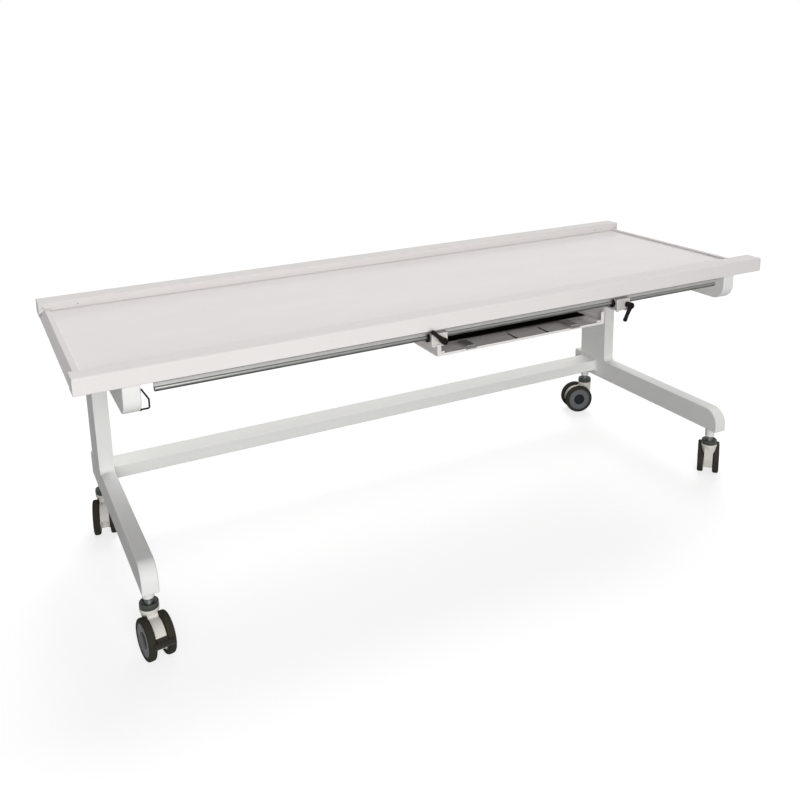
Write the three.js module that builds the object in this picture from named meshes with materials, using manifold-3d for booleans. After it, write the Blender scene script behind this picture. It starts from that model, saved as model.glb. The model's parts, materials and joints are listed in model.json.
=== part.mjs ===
import * as THREE from 'three';
import { mergeVertices } from 'three/addons/utils/BufferGeometryUtils.js';
import Module from 'manifold-3d';

const wasm = await Module();
wasm.setup();

// Mobile radiography table. Millimetres, X along the table, Y from front to rear, Z up from the floor.

// Table top
const TABLE_LENGTH = 2000;
const TABLE_WIDTH = 700;
const TABLE_HEIGHT = 706;
const RAIL_WIDTH = 55;
const RAIL_HEIGHT = 40;
const RAIL_WALL = 3;
const RAIL_EDGE_RADIUS = 4;
const LIP_HEIGHT = 25;
const PANEL_THICKNESS = 12;
const TONGUE_THICKNESS = 8;
const GROOVE_DEPTH = 12;
const TRIM_TOP_WIDTH = 13.5;
const TRIM_SLOPE = 15.5;
const TRIM_RISE = 5;
const TRIM_BITE = 8;

// Frame
const LEG_INSET = 120;
const LEG_WIDTH = 40;
const TUBE_WALL = 3;
const ARM_HEIGHT = 75;
const ARM_SETBACK = 8;
const ARM_FRONT_RADIUS = 42;
const ARM_REAR_RADIUS = 20;
const COLUMN_DEPTH = 127;
const COLUMN_SETBACK = 43;
const COLUMN_FLARE = 12;
const FOOT_HEIGHT = 69;
const FOOT_FRONT_SETBACK = 2;
const FOOT_REAR_SETBACK = 8;
const FOOT_TOE_RADIUS = 45;
const FOOT_EDGE_RADIUS = 3;
const STUB_DIAMETER = 28;
const STUB_LENGTH = 28;
const STRETCHER_DEPTH = 76;
const STRETCHER_HEIGHT = 37;
const STRETCHER_SETBACK = 7;
const STRETCHER_DROP = 11;
const FLANGE_THICKNESS = 4;
const FLANGE_MARGIN = 4;

// Guides under the side rails
const GUIDE_END_GAP = 30;
const GUIDE_SETBACK = 18;
const GUIDE_BASE_WIDTH = 20;
const GUIDE_BASE_THICKNESS = 6;
const GUIDE_WEB = 8;
const SHAFT_DIAMETER = 14;
const SHAFT_DROP = 20;

// Cassette carriage
const TRAY_WIDTH = 546;
const TRAY_DEPTH = 600;
const TRAY_HEIGHT = 37;
const TRAY_SHEET = 2;
const TRAY_OFFSET = 172;
const TRAY_DROP = 54;
const TRAY_LIP = 11;
const FRONT_LIP = 7;
const TRAY_POST = 12;
const NOTCH_WIDTH = 34;
const NOTCH_SPACING = 340;
const NOTCH_FLOOR = 4;
const EAR_THICKNESS = 3;
const EAR_RISE = 16;
const RUNNER_WIDTH = 24;
const SLOT_WIDTH = 5;
const SLOT_LENGTH = 60;
const SLOT_PLACES = [-15, 88];
const BLOCK_WIDTH = 46;
const BLOCK_DEPTH = 40;
const BLOCK_OVERHANG = 22;
const BLOCK_DROP = 8;
const BEARING_WALL = 3;
const BEARING_FLANGE = 5;
const BEARING_FLANGE_WIDTH = 3.5;
const DRAWER_SIDE_GAP = 22.5;
const DRAWER_FRONT_GAP = 51;
const DRAWER_SHEET = 3;
const MAT_THICKNESS = 1.5;
const MAT_MARGIN = 4;
const PULL_WIDTH = 26;
const LEVER_OFFSETS = [4, 12];
const LEVER_DROP = 25;
const LEVER_LENGTH = 48;
const LEVER_HUB_DIAMETER = 18;
const LEVER_HUB_LENGTH = 22;
const LEVER_STUD_DIAMETER = 8;
const LEVER_STUD_LENGTH = 8;
const LEVER_GRIP = 10;
const LEVER_ANGLES = [139, 244];

// Wire loop on the left arm
const LOOP_WIRE = 4;
const LOOP_REACH = 19;
const LOOP_DROP = 20;
const LOOP_RISE = 8;
const LOOP_SLOPE = 26;
const LOOP_BEND = 3.5;

// Casters
const CASTER_HEIGHT = 135;
const CASTER_SETBACK = 43;
const CASTER_TRAIL = 31;
const WHEEL_DIAMETER = 100;
const WHEEL_WIDTH = 18;
const WHEEL_SPACING = 46;
const HUB_DIAMETER = 82;
const AXLE_DIAMETER = 10;
const PIN_DIAMETER = 12;
const PIN_DEPTH = 24;
const COLLAR_DIAMETER = 46;
const COLLAR_HEIGHT = 14;
const COLLAR_RIM = 4;
const DISH_DEPTH = 7;
const BOSS_DIAMETER = 20;
const BOSS_RISE = 11;
const SWIVEL_RING_HEIGHT = 8;
const FORK_WIDTH = 26;
const BLADE_WALL = 3.5;
const HOOD_INSET = 8;
const HOOD_ANGLES = [-12, 100];
const HOOD_END = 4;
const PEDAL_WIDTH = 46;
const PEDAL_TREAD = 12.5;
const PEDAL_HEIGHT = 12;
const PEDAL_KNUCKLE = 6;
const PEDAL_PIN = 5;
const PEDAL_REACH = 31;
const PEDAL_RISE = 10;

// Swing of each caster about its stem in degrees, measured from +X towards +Y
const CASTERS = [
  { name: 'fl', side: -1, end: -1, swing: -82, pedal: true },
  { name: 'fr', side: 1, end: -1, swing: 43.5, pedal: true },
  { name: 'rl', side: -1, end: 1, swing: -101, pedal: false },
  { name: 'rr', side: 1, end: 1, swing: 163, pedal: false },
];

// Clearances
const FIT = 0.3;
const RUN = 0.09;
const SLIDE = 0.5;
const CLEAR = 1;
const WHEEL_SEGMENTS = 24;
const ROUND_SEGMENTS = 20;

// Derived levels
const HALF_LENGTH = TABLE_LENGTH / 2;
const HALF_WIDTH = TABLE_WIDTH / 2;
const RAIL_BOTTOM = TABLE_HEIGHT - RAIL_HEIGHT;
const PANEL_TOP = TABLE_HEIGHT - LIP_HEIGHT;
const PANEL_BOTTOM = PANEL_TOP - PANEL_THICKNESS;
const TONGUE_TOP = PANEL_BOTTOM + TONGUE_THICKNESS;
const RAIL_INNER = HALF_WIDTH - RAIL_WIDTH;
const TRIM_INNER = HALF_LENGTH - TRIM_SLOPE - TRIM_TOP_WIDTH;
const ARM_BOTTOM = RAIL_BOTTOM - ARM_HEIGHT;
const FOOT_BOTTOM = CASTER_HEIGHT + STUB_LENGTH;
const FOOT_TOP = FOOT_BOTTOM + FOOT_HEIGHT;
const LEG_X = HALF_LENGTH - LEG_INSET;
const LEG_HALF = LEG_WIDTH / 2;
const GUIDE_HALF = LEG_X - LEG_HALF - GUIDE_END_GAP;
const COLUMN_REAR = HALF_WIDTH - COLUMN_SETBACK;
const COLUMN_FRONT = COLUMN_REAR - COLUMN_DEPTH;
const CASTER_Y = HALF_WIDTH - CASTER_SETBACK;
const GUIDE_Y = HALF_WIDTH - GUIDE_SETBACK;
const SHAFT_Z = RAIL_BOTTOM - SHAFT_DROP;
const SHAFT_R = SHAFT_DIAMETER / 2;
const TRAY_TOP = RAIL_BOTTOM - TRAY_DROP;
const TRAY_BOTTOM = TRAY_TOP - TRAY_HEIGHT;
const EAR_TOP = TRAY_TOP + EAR_RISE;
const TRAY_FRONT = -TRAY_DEPTH / 2;
const DRAWER_BOTTOM = TRAY_BOTTOM + TRAY_LIP + SLIDE;
const BLOCK_X = TRAY_WIDTH / 2 + BLOCK_OVERHANG;

// Finishes
function finish(red, green, blue, roughness, metalness) {
  const colour = new THREE.Color().setRGB(red / 255, green / 255, blue / 255, THREE.SRGBColorSpace);
  return { color: colour, roughness, metalness };
}

const LAMINATE = finish(228, 225, 223, 0.32, 0);
const POWDER_WHITE = finish(230, 230, 226, 0.42, 0);
const LEG_WHITE = finish(226, 226, 221, 0.45, 0);
const ALUMINIUM = finish(196, 194, 192, 0.38, 0.9);
const BRIGHT_STEEL = finish(214, 211, 207, 0.2, 1);
const BLOCK_GREY = finish(208, 202, 196, 0.4, 0.6);
const SEAL_DARK = finish(52, 46, 44, 0.6, 0);
const LEVER_BLACK = finish(38, 33, 31, 0.5, 0.1);
const SHEET_GREY = finish(178, 176, 174, 0.4, 0.7);
const MAT_BLACK = finish(24, 22, 22, 0.7, 0);
const COLLAR_GREY = finish(74, 80, 76, 0.55, 0);
const FORK_GREY = finish(206, 203, 196, 0.45, 0);
const TYRE_GREY = finish(54, 50, 50, 0.75, 0);
const HUB_GREY = finish(106, 108, 114, 0.5, 0);

// Solids
function solidOf(geometry) {
  const bare = geometry.clone();
  bare.deleteAttribute('normal');
  bare.deleteAttribute('uv');
  const merged = mergeVertices(bare, 1e-4);
  const points = merged.attributes.position.array;
  const triangles = [];
  let volume = 0;
  const corner = (i) => new THREE.Vector3(points[3 * i], points[3 * i + 1], points[3 * i + 2]);
  for (let k = 0; k < merged.index.count; k += 3) {
    const a = merged.index.getX(k);
    const b = merged.index.getX(k + 1);
    const c = merged.index.getX(k + 2);
    if (a === b || b === c || a === c) continue;
    triangles.push([a, b, c]);
    volume += corner(a).dot(corner(b).cross(corner(c)));
  }
  const ordered = triangles.map(([a, b, c]) => (volume < 0 ? [a, c, b] : [a, b, c])).flat();
  const mesh = new wasm.Mesh({
    numProp: 3,
    vertProperties: Float32Array.from(points),
    triVerts: Uint32Array.from(ordered),
  });
  return new wasm.Manifold(mesh);
}

function geometryOf(solid) {
  const mesh = solid.getMesh();
  const geometry = new THREE.BufferGeometry();
  geometry.setAttribute('position', new THREE.BufferAttribute(Float32Array.from(mesh.vertProperties), 3));
  geometry.setIndex(new THREE.BufferAttribute(Uint32Array.from(mesh.triVerts), 1));
  geometry.computeVertexNormals();
  return geometry;
}

function join(first, ...rest) {
  return geometryOf(rest.reduce((sum, next) => sum.add(solidOf(next)), solidOf(first)));
}

function cut(first, ...rest) {
  return geometryOf(rest.reduce((left, next) => left.subtract(solidOf(next)), solidOf(first)));
}

// Shapes placed by their limits
function block(x0, x1, y0, y1, z0, z1) {
  const geometry = new THREE.BoxGeometry(x1 - x0, y1 - y0, z1 - z0);
  return geometry.translate((x0 + x1) / 2, (y0 + y1) / 2, (z0 + z1) / 2);
}

// Corners are [u, v] or [u, v, radius]
function outline(corners, steps = 5) {
  const path = [];
  corners.forEach(([u, v, radius = 0], i) => {
    const here = new THREE.Vector2(u, v);
    if (radius === 0) {
      path.push(here);
      return;
    }
    const before = corners[(i + corners.length - 1) % corners.length];
    const after = corners[(i + 1) % corners.length];
    const back = new THREE.Vector2(before[0], before[1]).sub(here).normalize();
    const ahead = new THREE.Vector2(after[0], after[1]).sub(here).normalize();
    const half = Math.acos(back.dot(ahead)) / 2;
    const centre = back.clone().add(ahead).normalize().multiplyScalar(radius / Math.sin(half)).add(here);
    const start = back.clone().multiplyScalar(radius / Math.tan(half)).add(here).sub(centre);
    const stop = ahead.clone().multiplyScalar(radius / Math.tan(half)).add(here).sub(centre);
    const from = Math.atan2(start.y, start.x);
    const sweep = Math.atan2(start.cross(stop), start.dot(stop));
    for (let k = 0; k <= steps; k += 1) {
      const angle = from + (sweep * k) / steps;
      path.push(new THREE.Vector2(Math.cos(angle), Math.sin(angle)).multiplyScalar(radius).add(centre));
    }
  });
  return path;
}

function extrude(corners, depth) {
  const shape = new THREE.Shape(outline(corners));
  return new THREE.ExtrudeGeometry(shape, { depth, steps: 1, bevelEnabled: false });
}

// Section in Y and Z, run from x0 to x1
function barX(corners, x0, x1) {
  const turn = new THREE.Matrix4().makeBasis(
    new THREE.Vector3(0, 1, 0),
    new THREE.Vector3(0, 0, 1),
    new THREE.Vector3(1, 0, 0),
  );
  return extrude(corners, x1 - x0).applyMatrix4(turn).translate(x0, 0, 0);
}

// Section in X and Z, run from y0 to y1
function barY(corners, y0, y1) {
  const turn = new THREE.Matrix4().makeBasis(
    new THREE.Vector3(1, 0, 0),
    new THREE.Vector3(0, 0, 1),
    new THREE.Vector3(0, -1, 0),
  );
  return extrude(corners, y1 - y0).applyMatrix4(turn).translate(0, y1, 0);
}

function rodX(radius, x0, x1, y, z, segments = ROUND_SEGMENTS) {
  const geometry = new THREE.CylinderGeometry(radius, radius, x1 - x0, segments).rotateZ(-Math.PI / 2);
  return geometry.translate((x0 + x1) / 2, y, z);
}

function rodY(radius, y0, y1, x, z, segments = ROUND_SEGMENTS) {
  return new THREE.CylinderGeometry(radius, radius, y1 - y0, segments).translate(x, (y0 + y1) / 2, z);
}

function rodZ(radius, z0, z1, x, y, segments = ROUND_SEGMENTS, lower = radius) {
  const geometry = new THREE.CylinderGeometry(radius, lower, z1 - z0, segments).rotateX(Math.PI / 2);
  return geometry.translate(x, y, (z0 + z1) / 2);
}

function lathe(profile, segments) {
  return new THREE.LatheGeometry(profile.map(([r, h]) => new THREE.Vector2(r, h)), segments);
}

const table = new THREE.Group();
table.name = 'radiography_table';

function add(name, geometry, look) {
  const mesh = new THREE.Mesh(geometryOf(solidOf(geometry)), new THREE.MeshStandardMaterial(look));
  mesh.name = name;
  mesh.material.name = name;
  table.add(mesh);
}

// Top board with a tongue all round, held in grooves of the side rails and the end trims
function topPanel() {
  const x = TRIM_INNER - FIT;
  const y = RAIL_INNER - FIT;
  return join(
    block(-x, x, -y, y, PANEL_BOTTOM, PANEL_TOP),
    block(-x - TRIM_BITE, x + TRIM_BITE, -y - GROOVE_DEPTH, y + GROOVE_DEPTH, PANEL_BOTTOM, TONGUE_TOP),
  );
}

// Hollow side rail; side is -1 at the front and 1 at the rear
function sideRail(side) {
  const outer = barX(
    [
      [RAIL_INNER, RAIL_BOTTOM],
      [HALF_WIDTH, RAIL_BOTTOM, RAIL_EDGE_RADIUS / 2],
      [HALF_WIDTH, TABLE_HEIGHT, RAIL_EDGE_RADIUS],
      [RAIL_INNER, TABLE_HEIGHT, RAIL_EDGE_RADIUS],
      [RAIL_INNER, TONGUE_TOP + FIT],
      [RAIL_INNER + GROOVE_DEPTH, TONGUE_TOP + FIT],
      [RAIL_INNER + GROOVE_DEPTH, PANEL_BOTTOM],
      [RAIL_INNER, PANEL_BOTTOM],
    ],
    -HALF_LENGTH,
    HALF_LENGTH,
  );
  const behind = RAIL_INNER + GROOVE_DEPTH + RAIL_WALL;
  const chamber = barX(
    [
      [behind, RAIL_BOTTOM + RAIL_WALL],
      [HALF_WIDTH - RAIL_WALL, RAIL_BOTTOM + RAIL_WALL],
      [HALF_WIDTH - RAIL_WALL, TABLE_HEIGHT - RAIL_WALL],
      [RAIL_INNER + RAIL_WALL, TABLE_HEIGHT - RAIL_WALL],
      [RAIL_INNER + RAIL_WALL, TONGUE_TOP + FIT + RAIL_WALL],
      [behind, TONGUE_TOP + FIT + RAIL_WALL],
    ],
    -HALF_LENGTH + RAIL_WALL,
    HALF_LENGTH - RAIL_WALL,
  );
  const holes = [-1, 1].map((end) => block(
    end * LEG_X - LEG_HALF / 2,
    end * LEG_X + LEG_HALF / 2,
    behind + RAIL_WALL,
    HALF_WIDTH - ARM_SETBACK - ARM_REAR_RADIUS / 2,
    RAIL_BOTTOM - CLEAR,
    RAIL_BOTTOM + RAIL_WALL + CLEAR,
  ));
  const rail = cut(outer, chamber, ...holes);
  return side > 0 ? rail : rail.rotateZ(Math.PI);
}

// Sloped trim across the end of the board
function endTrim(end) {
  const body = barY(
    [
      [TRIM_INNER, RAIL_BOTTOM],
      [HALF_LENGTH, RAIL_BOTTOM],
      [HALF_LENGTH - TRIM_SLOPE, PANEL_TOP + TRIM_RISE],
      [TRIM_INNER, PANEL_TOP + TRIM_RISE],
      [TRIM_INNER, TONGUE_TOP + FIT],
      [TRIM_INNER + TRIM_BITE, TONGUE_TOP + FIT],
      [TRIM_INNER + TRIM_BITE, PANEL_BOTTOM],
      [TRIM_INNER, PANEL_BOTTOM],
    ],
    -RAIL_INNER,
    RAIL_INNER,
  );
  return end > 0 ? body : body.rotateZ(Math.PI);
}

// Cantilever arm under the rails, open below where the column stands
function arm(end) {
  const reach = HALF_WIDTH - ARM_SETBACK;
  const x0 = end * LEG_X - LEG_HALF;
  const x1 = end * LEG_X + LEG_HALF;
  const body = barX(
    [
      [-reach, ARM_BOTTOM, ARM_FRONT_RADIUS],
      [reach, ARM_BOTTOM, ARM_REAR_RADIUS],
      [reach, RAIL_BOTTOM],
      [-reach, RAIL_BOTTOM],
    ],
    x0,
    x1,
  );
  const hollow = block(
    x0 + TUBE_WALL,
    x1 - TUBE_WALL,
    -reach + ARM_FRONT_RADIUS,
    reach - ARM_REAR_RADIUS,
    ARM_BOTTOM + TUBE_WALL,
    RAIL_BOTTOM - TUBE_WALL,
  );
  const mouth = block(
    x0 + 2 * TUBE_WALL,
    x1 - 2 * TUBE_WALL,
    COLUMN_FRONT + 2 * TUBE_WALL,
    COLUMN_REAR - 2 * TUBE_WALL,
    ARM_BOTTOM - CLEAR,
    ARM_BOTTOM + TUBE_WALL + CLEAR,
  );
  return cut(body, hollow, mouth);
}

// Upright tube with a flared front where it meets the foot
function column(end) {
  const x0 = end * LEG_X - LEG_HALF;
  const x1 = end * LEG_X + LEG_HALF;
  const flare = [];
  for (let k = 0; k <= 6; k += 1) {
    const angle = (Math.PI / 2) * (k / 6);
    flare.push([
      COLUMN_FRONT - COLUMN_FLARE + COLUMN_FLARE * Math.sin(angle),
      FOOT_TOP + COLUMN_FLARE - COLUMN_FLARE * Math.cos(angle),
    ]);
  }
  const body = barX(
    [...flare, [COLUMN_FRONT, ARM_BOTTOM], [COLUMN_REAR, ARM_BOTTOM], [COLUMN_REAR, FOOT_TOP]],
    x0,
    x1,
  );
  const hollow = block(
    x0 + TUBE_WALL,
    x1 - TUBE_WALL,
    COLUMN_FRONT + TUBE_WALL,
    COLUMN_REAR - TUBE_WALL,
    FOOT_TOP - CLEAR,
    ARM_BOTTOM + CLEAR,
  );
  return cut(body, hollow);
}

// Long foot with a rounded toe and a bored stub for each caster
function foot(end) {
  const x0 = end * LEG_X - LEG_HALF;
  const x1 = end * LEG_X + LEG_HALF;
  const front = -HALF_WIDTH + FOOT_FRONT_SETBACK;
  const rear = HALF_WIDTH - FOOT_REAR_SETBACK;
  const body = barX(
    [
      [front, FOOT_BOTTOM, FOOT_EDGE_RADIUS],
      [rear, FOOT_BOTTOM, FOOT_EDGE_RADIUS],
      [rear, FOOT_TOP, FOOT_EDGE_RADIUS],
      [front, FOOT_TOP, FOOT_TOE_RADIUS],
    ],
    x0,
    x1,
  );
  const hollow = block(
    x0 + TUBE_WALL,
    x1 - TUBE_WALL,
    front + FOOT_TOE_RADIUS + TUBE_WALL,
    rear - FOOT_EDGE_RADIUS,
    FOOT_BOTTOM + TUBE_WALL,
    FOOT_TOP - TUBE_WALL,
  );
  const mouth = block(
    x0 + 2 * TUBE_WALL,
    x1 - 2 * TUBE_WALL,
    COLUMN_FRONT + 2 * TUBE_WALL,
    COLUMN_REAR - 2 * TUBE_WALL,
    FOOT_TOP - TUBE_WALL - CLEAR,
    FOOT_TOP + CLEAR,
  );
  const open = cut(body, hollow, mouth);
  const stubs = [-1, 1].map((place) => rodZ(
    STUB_DIAMETER / 2,
    CASTER_HEIGHT,
    FOOT_BOTTOM + TUBE_WALL / 2,
    end * LEG_X,
    place * CASTER_Y,
  ));
  const bores = [-1, 1].map((place) => rodZ(
    PIN_DIAMETER / 2 + RUN,
    CASTER_HEIGHT - CLEAR,
    FOOT_BOTTOM - TUBE_WALL,
    end * LEG_X,
    place * CASTER_Y,
  ));
  return cut(join(open, ...stubs), ...bores);
}

// Rear cross tube between the feet
const STRETCHER_REAR = COLUMN_REAR - STRETCHER_SETBACK;
const STRETCHER_TOP = FOOT_TOP - STRETCHER_DROP;
const STRETCHER_END = LEG_X - LEG_HALF - FLANGE_THICKNESS;

function stretcher() {
  const front = STRETCHER_REAR - STRETCHER_DEPTH;
  const bottom = STRETCHER_TOP - STRETCHER_HEIGHT;
  const body = block(-STRETCHER_END, STRETCHER_END, front, STRETCHER_REAR, bottom, STRETCHER_TOP);
  const hollow = block(
    -STRETCHER_END - CLEAR,
    STRETCHER_END + CLEAR,
    front + TUBE_WALL,
    STRETCHER_REAR - TUBE_WALL,
    bottom + TUBE_WALL,
    STRETCHER_TOP - TUBE_WALL,
  );
  return cut(body, hollow);
}

function stretcherFlange(end) {
  const inner = end * STRETCHER_END;
  const outer = end * (STRETCHER_END + FLANGE_THICKNESS);
  return barX(
    [
      [STRETCHER_REAR - STRETCHER_DEPTH - FLANGE_MARGIN, STRETCHER_TOP - STRETCHER_HEIGHT - FLANGE_MARGIN, 3],
      [STRETCHER_REAR + FLANGE_MARGIN, STRETCHER_TOP - STRETCHER_HEIGHT - FLANGE_MARGIN, 3],
      [STRETCHER_REAR + FLANGE_MARGIN, STRETCHER_TOP + FLANGE_MARGIN, 3],
      [STRETCHER_REAR - STRETCHER_DEPTH - FLANGE_MARGIN, STRETCHER_TOP + FLANGE_MARGIN, 3],
    ],
    Math.min(inner, outer),
    Math.max(inner, outer),
  );
}

// Guide: aluminium support with a round shaft seated in its lower edge
function guideShaft(side) {
  return rodX(SHAFT_R, -GUIDE_HALF, GUIDE_HALF, side * GUIDE_Y, SHAFT_Z);
}

function guideSupport(side) {
  const y = side * GUIDE_Y;
  const shelf = RAIL_BOTTOM - GUIDE_BASE_THICKNESS;
  const body = barX(
    [
      [y - GUIDE_WEB / 2, SHAFT_Z],
      [y + GUIDE_WEB / 2, SHAFT_Z],
      [y + GUIDE_WEB / 2, shelf],
      [y + GUIDE_BASE_WIDTH / 2, shelf],
      [y + GUIDE_BASE_WIDTH / 2, RAIL_BOTTOM],
      [y - GUIDE_BASE_WIDTH / 2, RAIL_BOTTOM],
      [y - GUIDE_BASE_WIDTH / 2, shelf],
      [y - GUIDE_WEB / 2, shelf],
    ],
    -GUIDE_HALF,
    GUIDE_HALF,
  );
  return cut(body, guideShaft(side));
}

// Space that the guide support needs inside a bearing block
function guideSpace(side, x0, x1) {
  const y = side * GUIDE_Y;
  const base = GUIDE_BASE_WIDTH / 2 + CLEAR;
  const web = GUIDE_WEB / 2 + 2 * CLEAR;
  const shelf = RAIL_BOTTOM - GUIDE_BASE_THICKNESS - CLEAR;
  return [
    block(x0 - CLEAR, x1 + CLEAR, y - base, y + base, shelf, RAIL_BOTTOM + CLEAR),
    block(x0 - CLEAR, x1 + CLEAR, y - web, y + web, SHAFT_Z, shelf + CLEAR),
  ];
}

// The clamp levers sit a little right of the middle of their blocks
function leverX(end) {
  return TRAY_OFFSET + end * BLOCK_X + LEVER_OFFSETS[end < 0 ? 0 : 1];
}

// Open bearing block that hangs on the shaft; only the front ones carry a clamp stud and a bearing
function bearingBlock(side, end) {
  const x0 = TRAY_OFFSET + end * BLOCK_X - BLOCK_WIDTH / 2;
  const x1 = x0 + BLOCK_WIDTH;
  const y = side * GUIDE_Y;
  const body = barX(
    [
      [y - BLOCK_DEPTH / 2, EAR_TOP, 3],
      [y + BLOCK_DEPTH / 2, EAR_TOP, 3],
      [y + BLOCK_DEPTH / 2, RAIL_BOTTOM - BLOCK_DROP, 2],
      [y - BLOCK_DEPTH / 2, RAIL_BOTTOM - BLOCK_DROP, 2],
    ],
    x0,
    x1,
  );
  const bore = side < 0 ? SHAFT_R + BEARING_WALL : SHAFT_R + RUN;
  const tools = [rodX(bore, x0 - CLEAR, x1 + CLEAR, y, SHAFT_Z), ...guideSpace(side, x0, x1)];
  if (side < 0) {
    const x = leverX(end);
    const front = y - BLOCK_DEPTH / 2;
    tools.push(rodY(
      LEVER_STUD_DIAMETER / 2 + RUN,
      front - CLEAR,
      front + LEVER_STUD_LENGTH + CLEAR,
      x,
      RAIL_BOTTOM - LEVER_DROP,
    ));
  }
  return cut(body, ...tools);
}

// Dark open bearing with a flange showing at both sides of its block
function bearing(end) {
  const x0 = TRAY_OFFSET + end * BLOCK_X - BLOCK_WIDTH / 2;
  const x1 = x0 + BLOCK_WIDTH;
  const y = -GUIDE_Y;
  const outer = SHAFT_R + BEARING_WALL;
  const sleeve = join(
    rodX(outer, x0 - BEARING_FLANGE, x1 + BEARING_FLANGE, y, SHAFT_Z),
    rodX(outer + BEARING_FLANGE_WIDTH, x0 - BEARING_FLANGE, x0, y, SHAFT_Z),
    rodX(outer + BEARING_FLANGE_WIDTH, x1, x1 + BEARING_FLANGE, y, SHAFT_Z),
  );
  const inside = rodX(SHAFT_R + RUN, x0 - 2 * BEARING_FLANGE, x1 + 2 * BEARING_FLANGE, y, SHAFT_Z);
  return cut(sleeve, inside, ...guideSpace(-1, x0 - BEARING_FLANGE, x1 + BEARING_FLANGE));
}

// Open-topped cassette tray with side ears, a notched front lip and runners for the drawer
function cassetteTray() {
  const x0 = TRAY_OFFSET - TRAY_WIDTH / 2;
  const x1 = TRAY_OFFSET + TRAY_WIDTH / 2;
  const front = TRAY_FRONT;
  const rear = TRAY_FRONT + TRAY_DEPTH;
  const floor = TRAY_BOTTOM + TRAY_SHEET;
  const runner = DRAWER_BOTTOM - FIT;
  const over = EAR_TOP + CLEAR;
  const reach = GUIDE_Y + BLOCK_DEPTH / 2;
  const ear = BLOCK_OVERHANG + BLOCK_WIDTH / 2;
  const shell = join(
    block(x0, x1, front, rear, TRAY_BOTTOM, EAR_TOP),
    block(x0 - ear, x1 + ear, -reach, reach, EAR_TOP - EAR_THICKNESS, EAR_TOP),
  );
  const inside = [
    block(x0 + TRAY_SHEET, x1 - TRAY_SHEET, front + TRAY_SHEET, rear - TRAY_SHEET, runner, over),
    block(x0 + RUNNER_WIDTH, x1 - RUNNER_WIDTH, front + TRAY_SHEET, rear - TRAY_SHEET, floor, over),
    block(x0 + TRAY_SHEET, x1 - TRAY_SHEET, front - CLEAR, rear + CLEAR, TRAY_TOP, over),
    block(x0 + TRAY_POST, x1 - TRAY_POST, -reach - CLEAR, front + 2 * TRAY_SHEET, TRAY_BOTTOM + FRONT_LIP, over),
    block(x0, x1, -reach - CLEAR, front, runner, over),
    block(x0, x1, rear, reach + CLEAR, runner, over),
  ];
  const notches = [-1, 1].map((end) => block(
    TRAY_OFFSET + (end * NOTCH_SPACING) / 2 - NOTCH_WIDTH / 2,
    TRAY_OFFSET + (end * NOTCH_SPACING) / 2 + NOTCH_WIDTH / 2,
    front - CLEAR,
    front + TRAY_SHEET + CLEAR,
    TRAY_BOTTOM + NOTCH_FLOOR,
    over,
  ));
  const slots = SLOT_PLACES.map((place) => block(
    TRAY_OFFSET + place - SLOT_WIDTH / 2,
    TRAY_OFFSET + place + SLOT_WIDTH / 2,
    front + 2 * TRAY_SHEET,
    front + 2 * TRAY_SHEET + SLOT_LENGTH,
    TRAY_BOTTOM - CLEAR,
    floor + CLEAR,
  ));
  return cut(shell, ...inside, ...notches, ...slots);
}

// Sliding drawer plate with two finger pulls, and the dark mat laid on it
const DRAWER_HALF = TRAY_WIDTH / 2 - DRAWER_SIDE_GAP;
const DRAWER_FRONT = TRAY_FRONT + DRAWER_FRONT_GAP;

function drawerPlate() {
  const top = DRAWER_BOTTOM + DRAWER_SHEET;
  const x0 = TRAY_OFFSET - DRAWER_HALF;
  const x1 = TRAY_OFFSET + DRAWER_HALF;
  const pulls = [-1, 1].map((end) => block(
    TRAY_OFFSET + (end * NOTCH_SPACING) / 2 - PULL_WIDTH / 2,
    TRAY_OFFSET + (end * NOTCH_SPACING) / 2 + PULL_WIDTH / 2,
    TRAY_FRONT + TRAY_SHEET + CLEAR,
    DRAWER_FRONT + CLEAR,
    DRAWER_BOTTOM,
    top - 1,
  ));
  return join(block(x0, x1, DRAWER_FRONT, -DRAWER_FRONT, DRAWER_BOTTOM, top), ...pulls);
}

function drawerMat() {
  const x = DRAWER_HALF - MAT_MARGIN;
  const y = -DRAWER_FRONT - MAT_MARGIN;
  const z = DRAWER_BOTTOM + DRAWER_SHEET;
  return block(TRAY_OFFSET - x, TRAY_OFFSET + x, -y, y, z, z + MAT_THICKNESS);
}

// Clamping lever: stud, hub and a tapered handle
function clampLever(end, angle) {
  const x = leverX(end);
  const z = RAIL_BOTTOM - LEVER_DROP;
  const face = -GUIDE_Y - BLOCK_DEPTH / 2;
  const hub = rodY(LEVER_HUB_DIAMETER / 2, -LEVER_HUB_LENGTH - FIT, -FIT, 0, 0);
  const stud = rodY(LEVER_STUD_DIAMETER / 2, -CLEAR, LEVER_STUD_LENGTH, 0, 0);
  const root = LEVER_HUB_DIAMETER / 2 - 2;
  const tip = LEVER_GRIP / 2 + 1;
  const handle = barY(
    [
      [0, -root],
      [LEVER_LENGTH * 0.55, -LEVER_GRIP / 2],
      [LEVER_LENGTH, -tip, tip * 0.9],
      [LEVER_LENGTH, tip, tip * 0.9],
      [LEVER_LENGTH * 0.55, LEVER_GRIP / 2],
      [0, root],
    ],
    -LEVER_HUB_LENGTH - FIT + 1,
    -LEVER_HUB_LENGTH - FIT + 1 + LEVER_GRIP,
  );
  const lever = join(hub, stud, handle);
  return lever.rotateY(-THREE.MathUtils.degToRad(angle)).translate(x, face, z);
}

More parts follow.
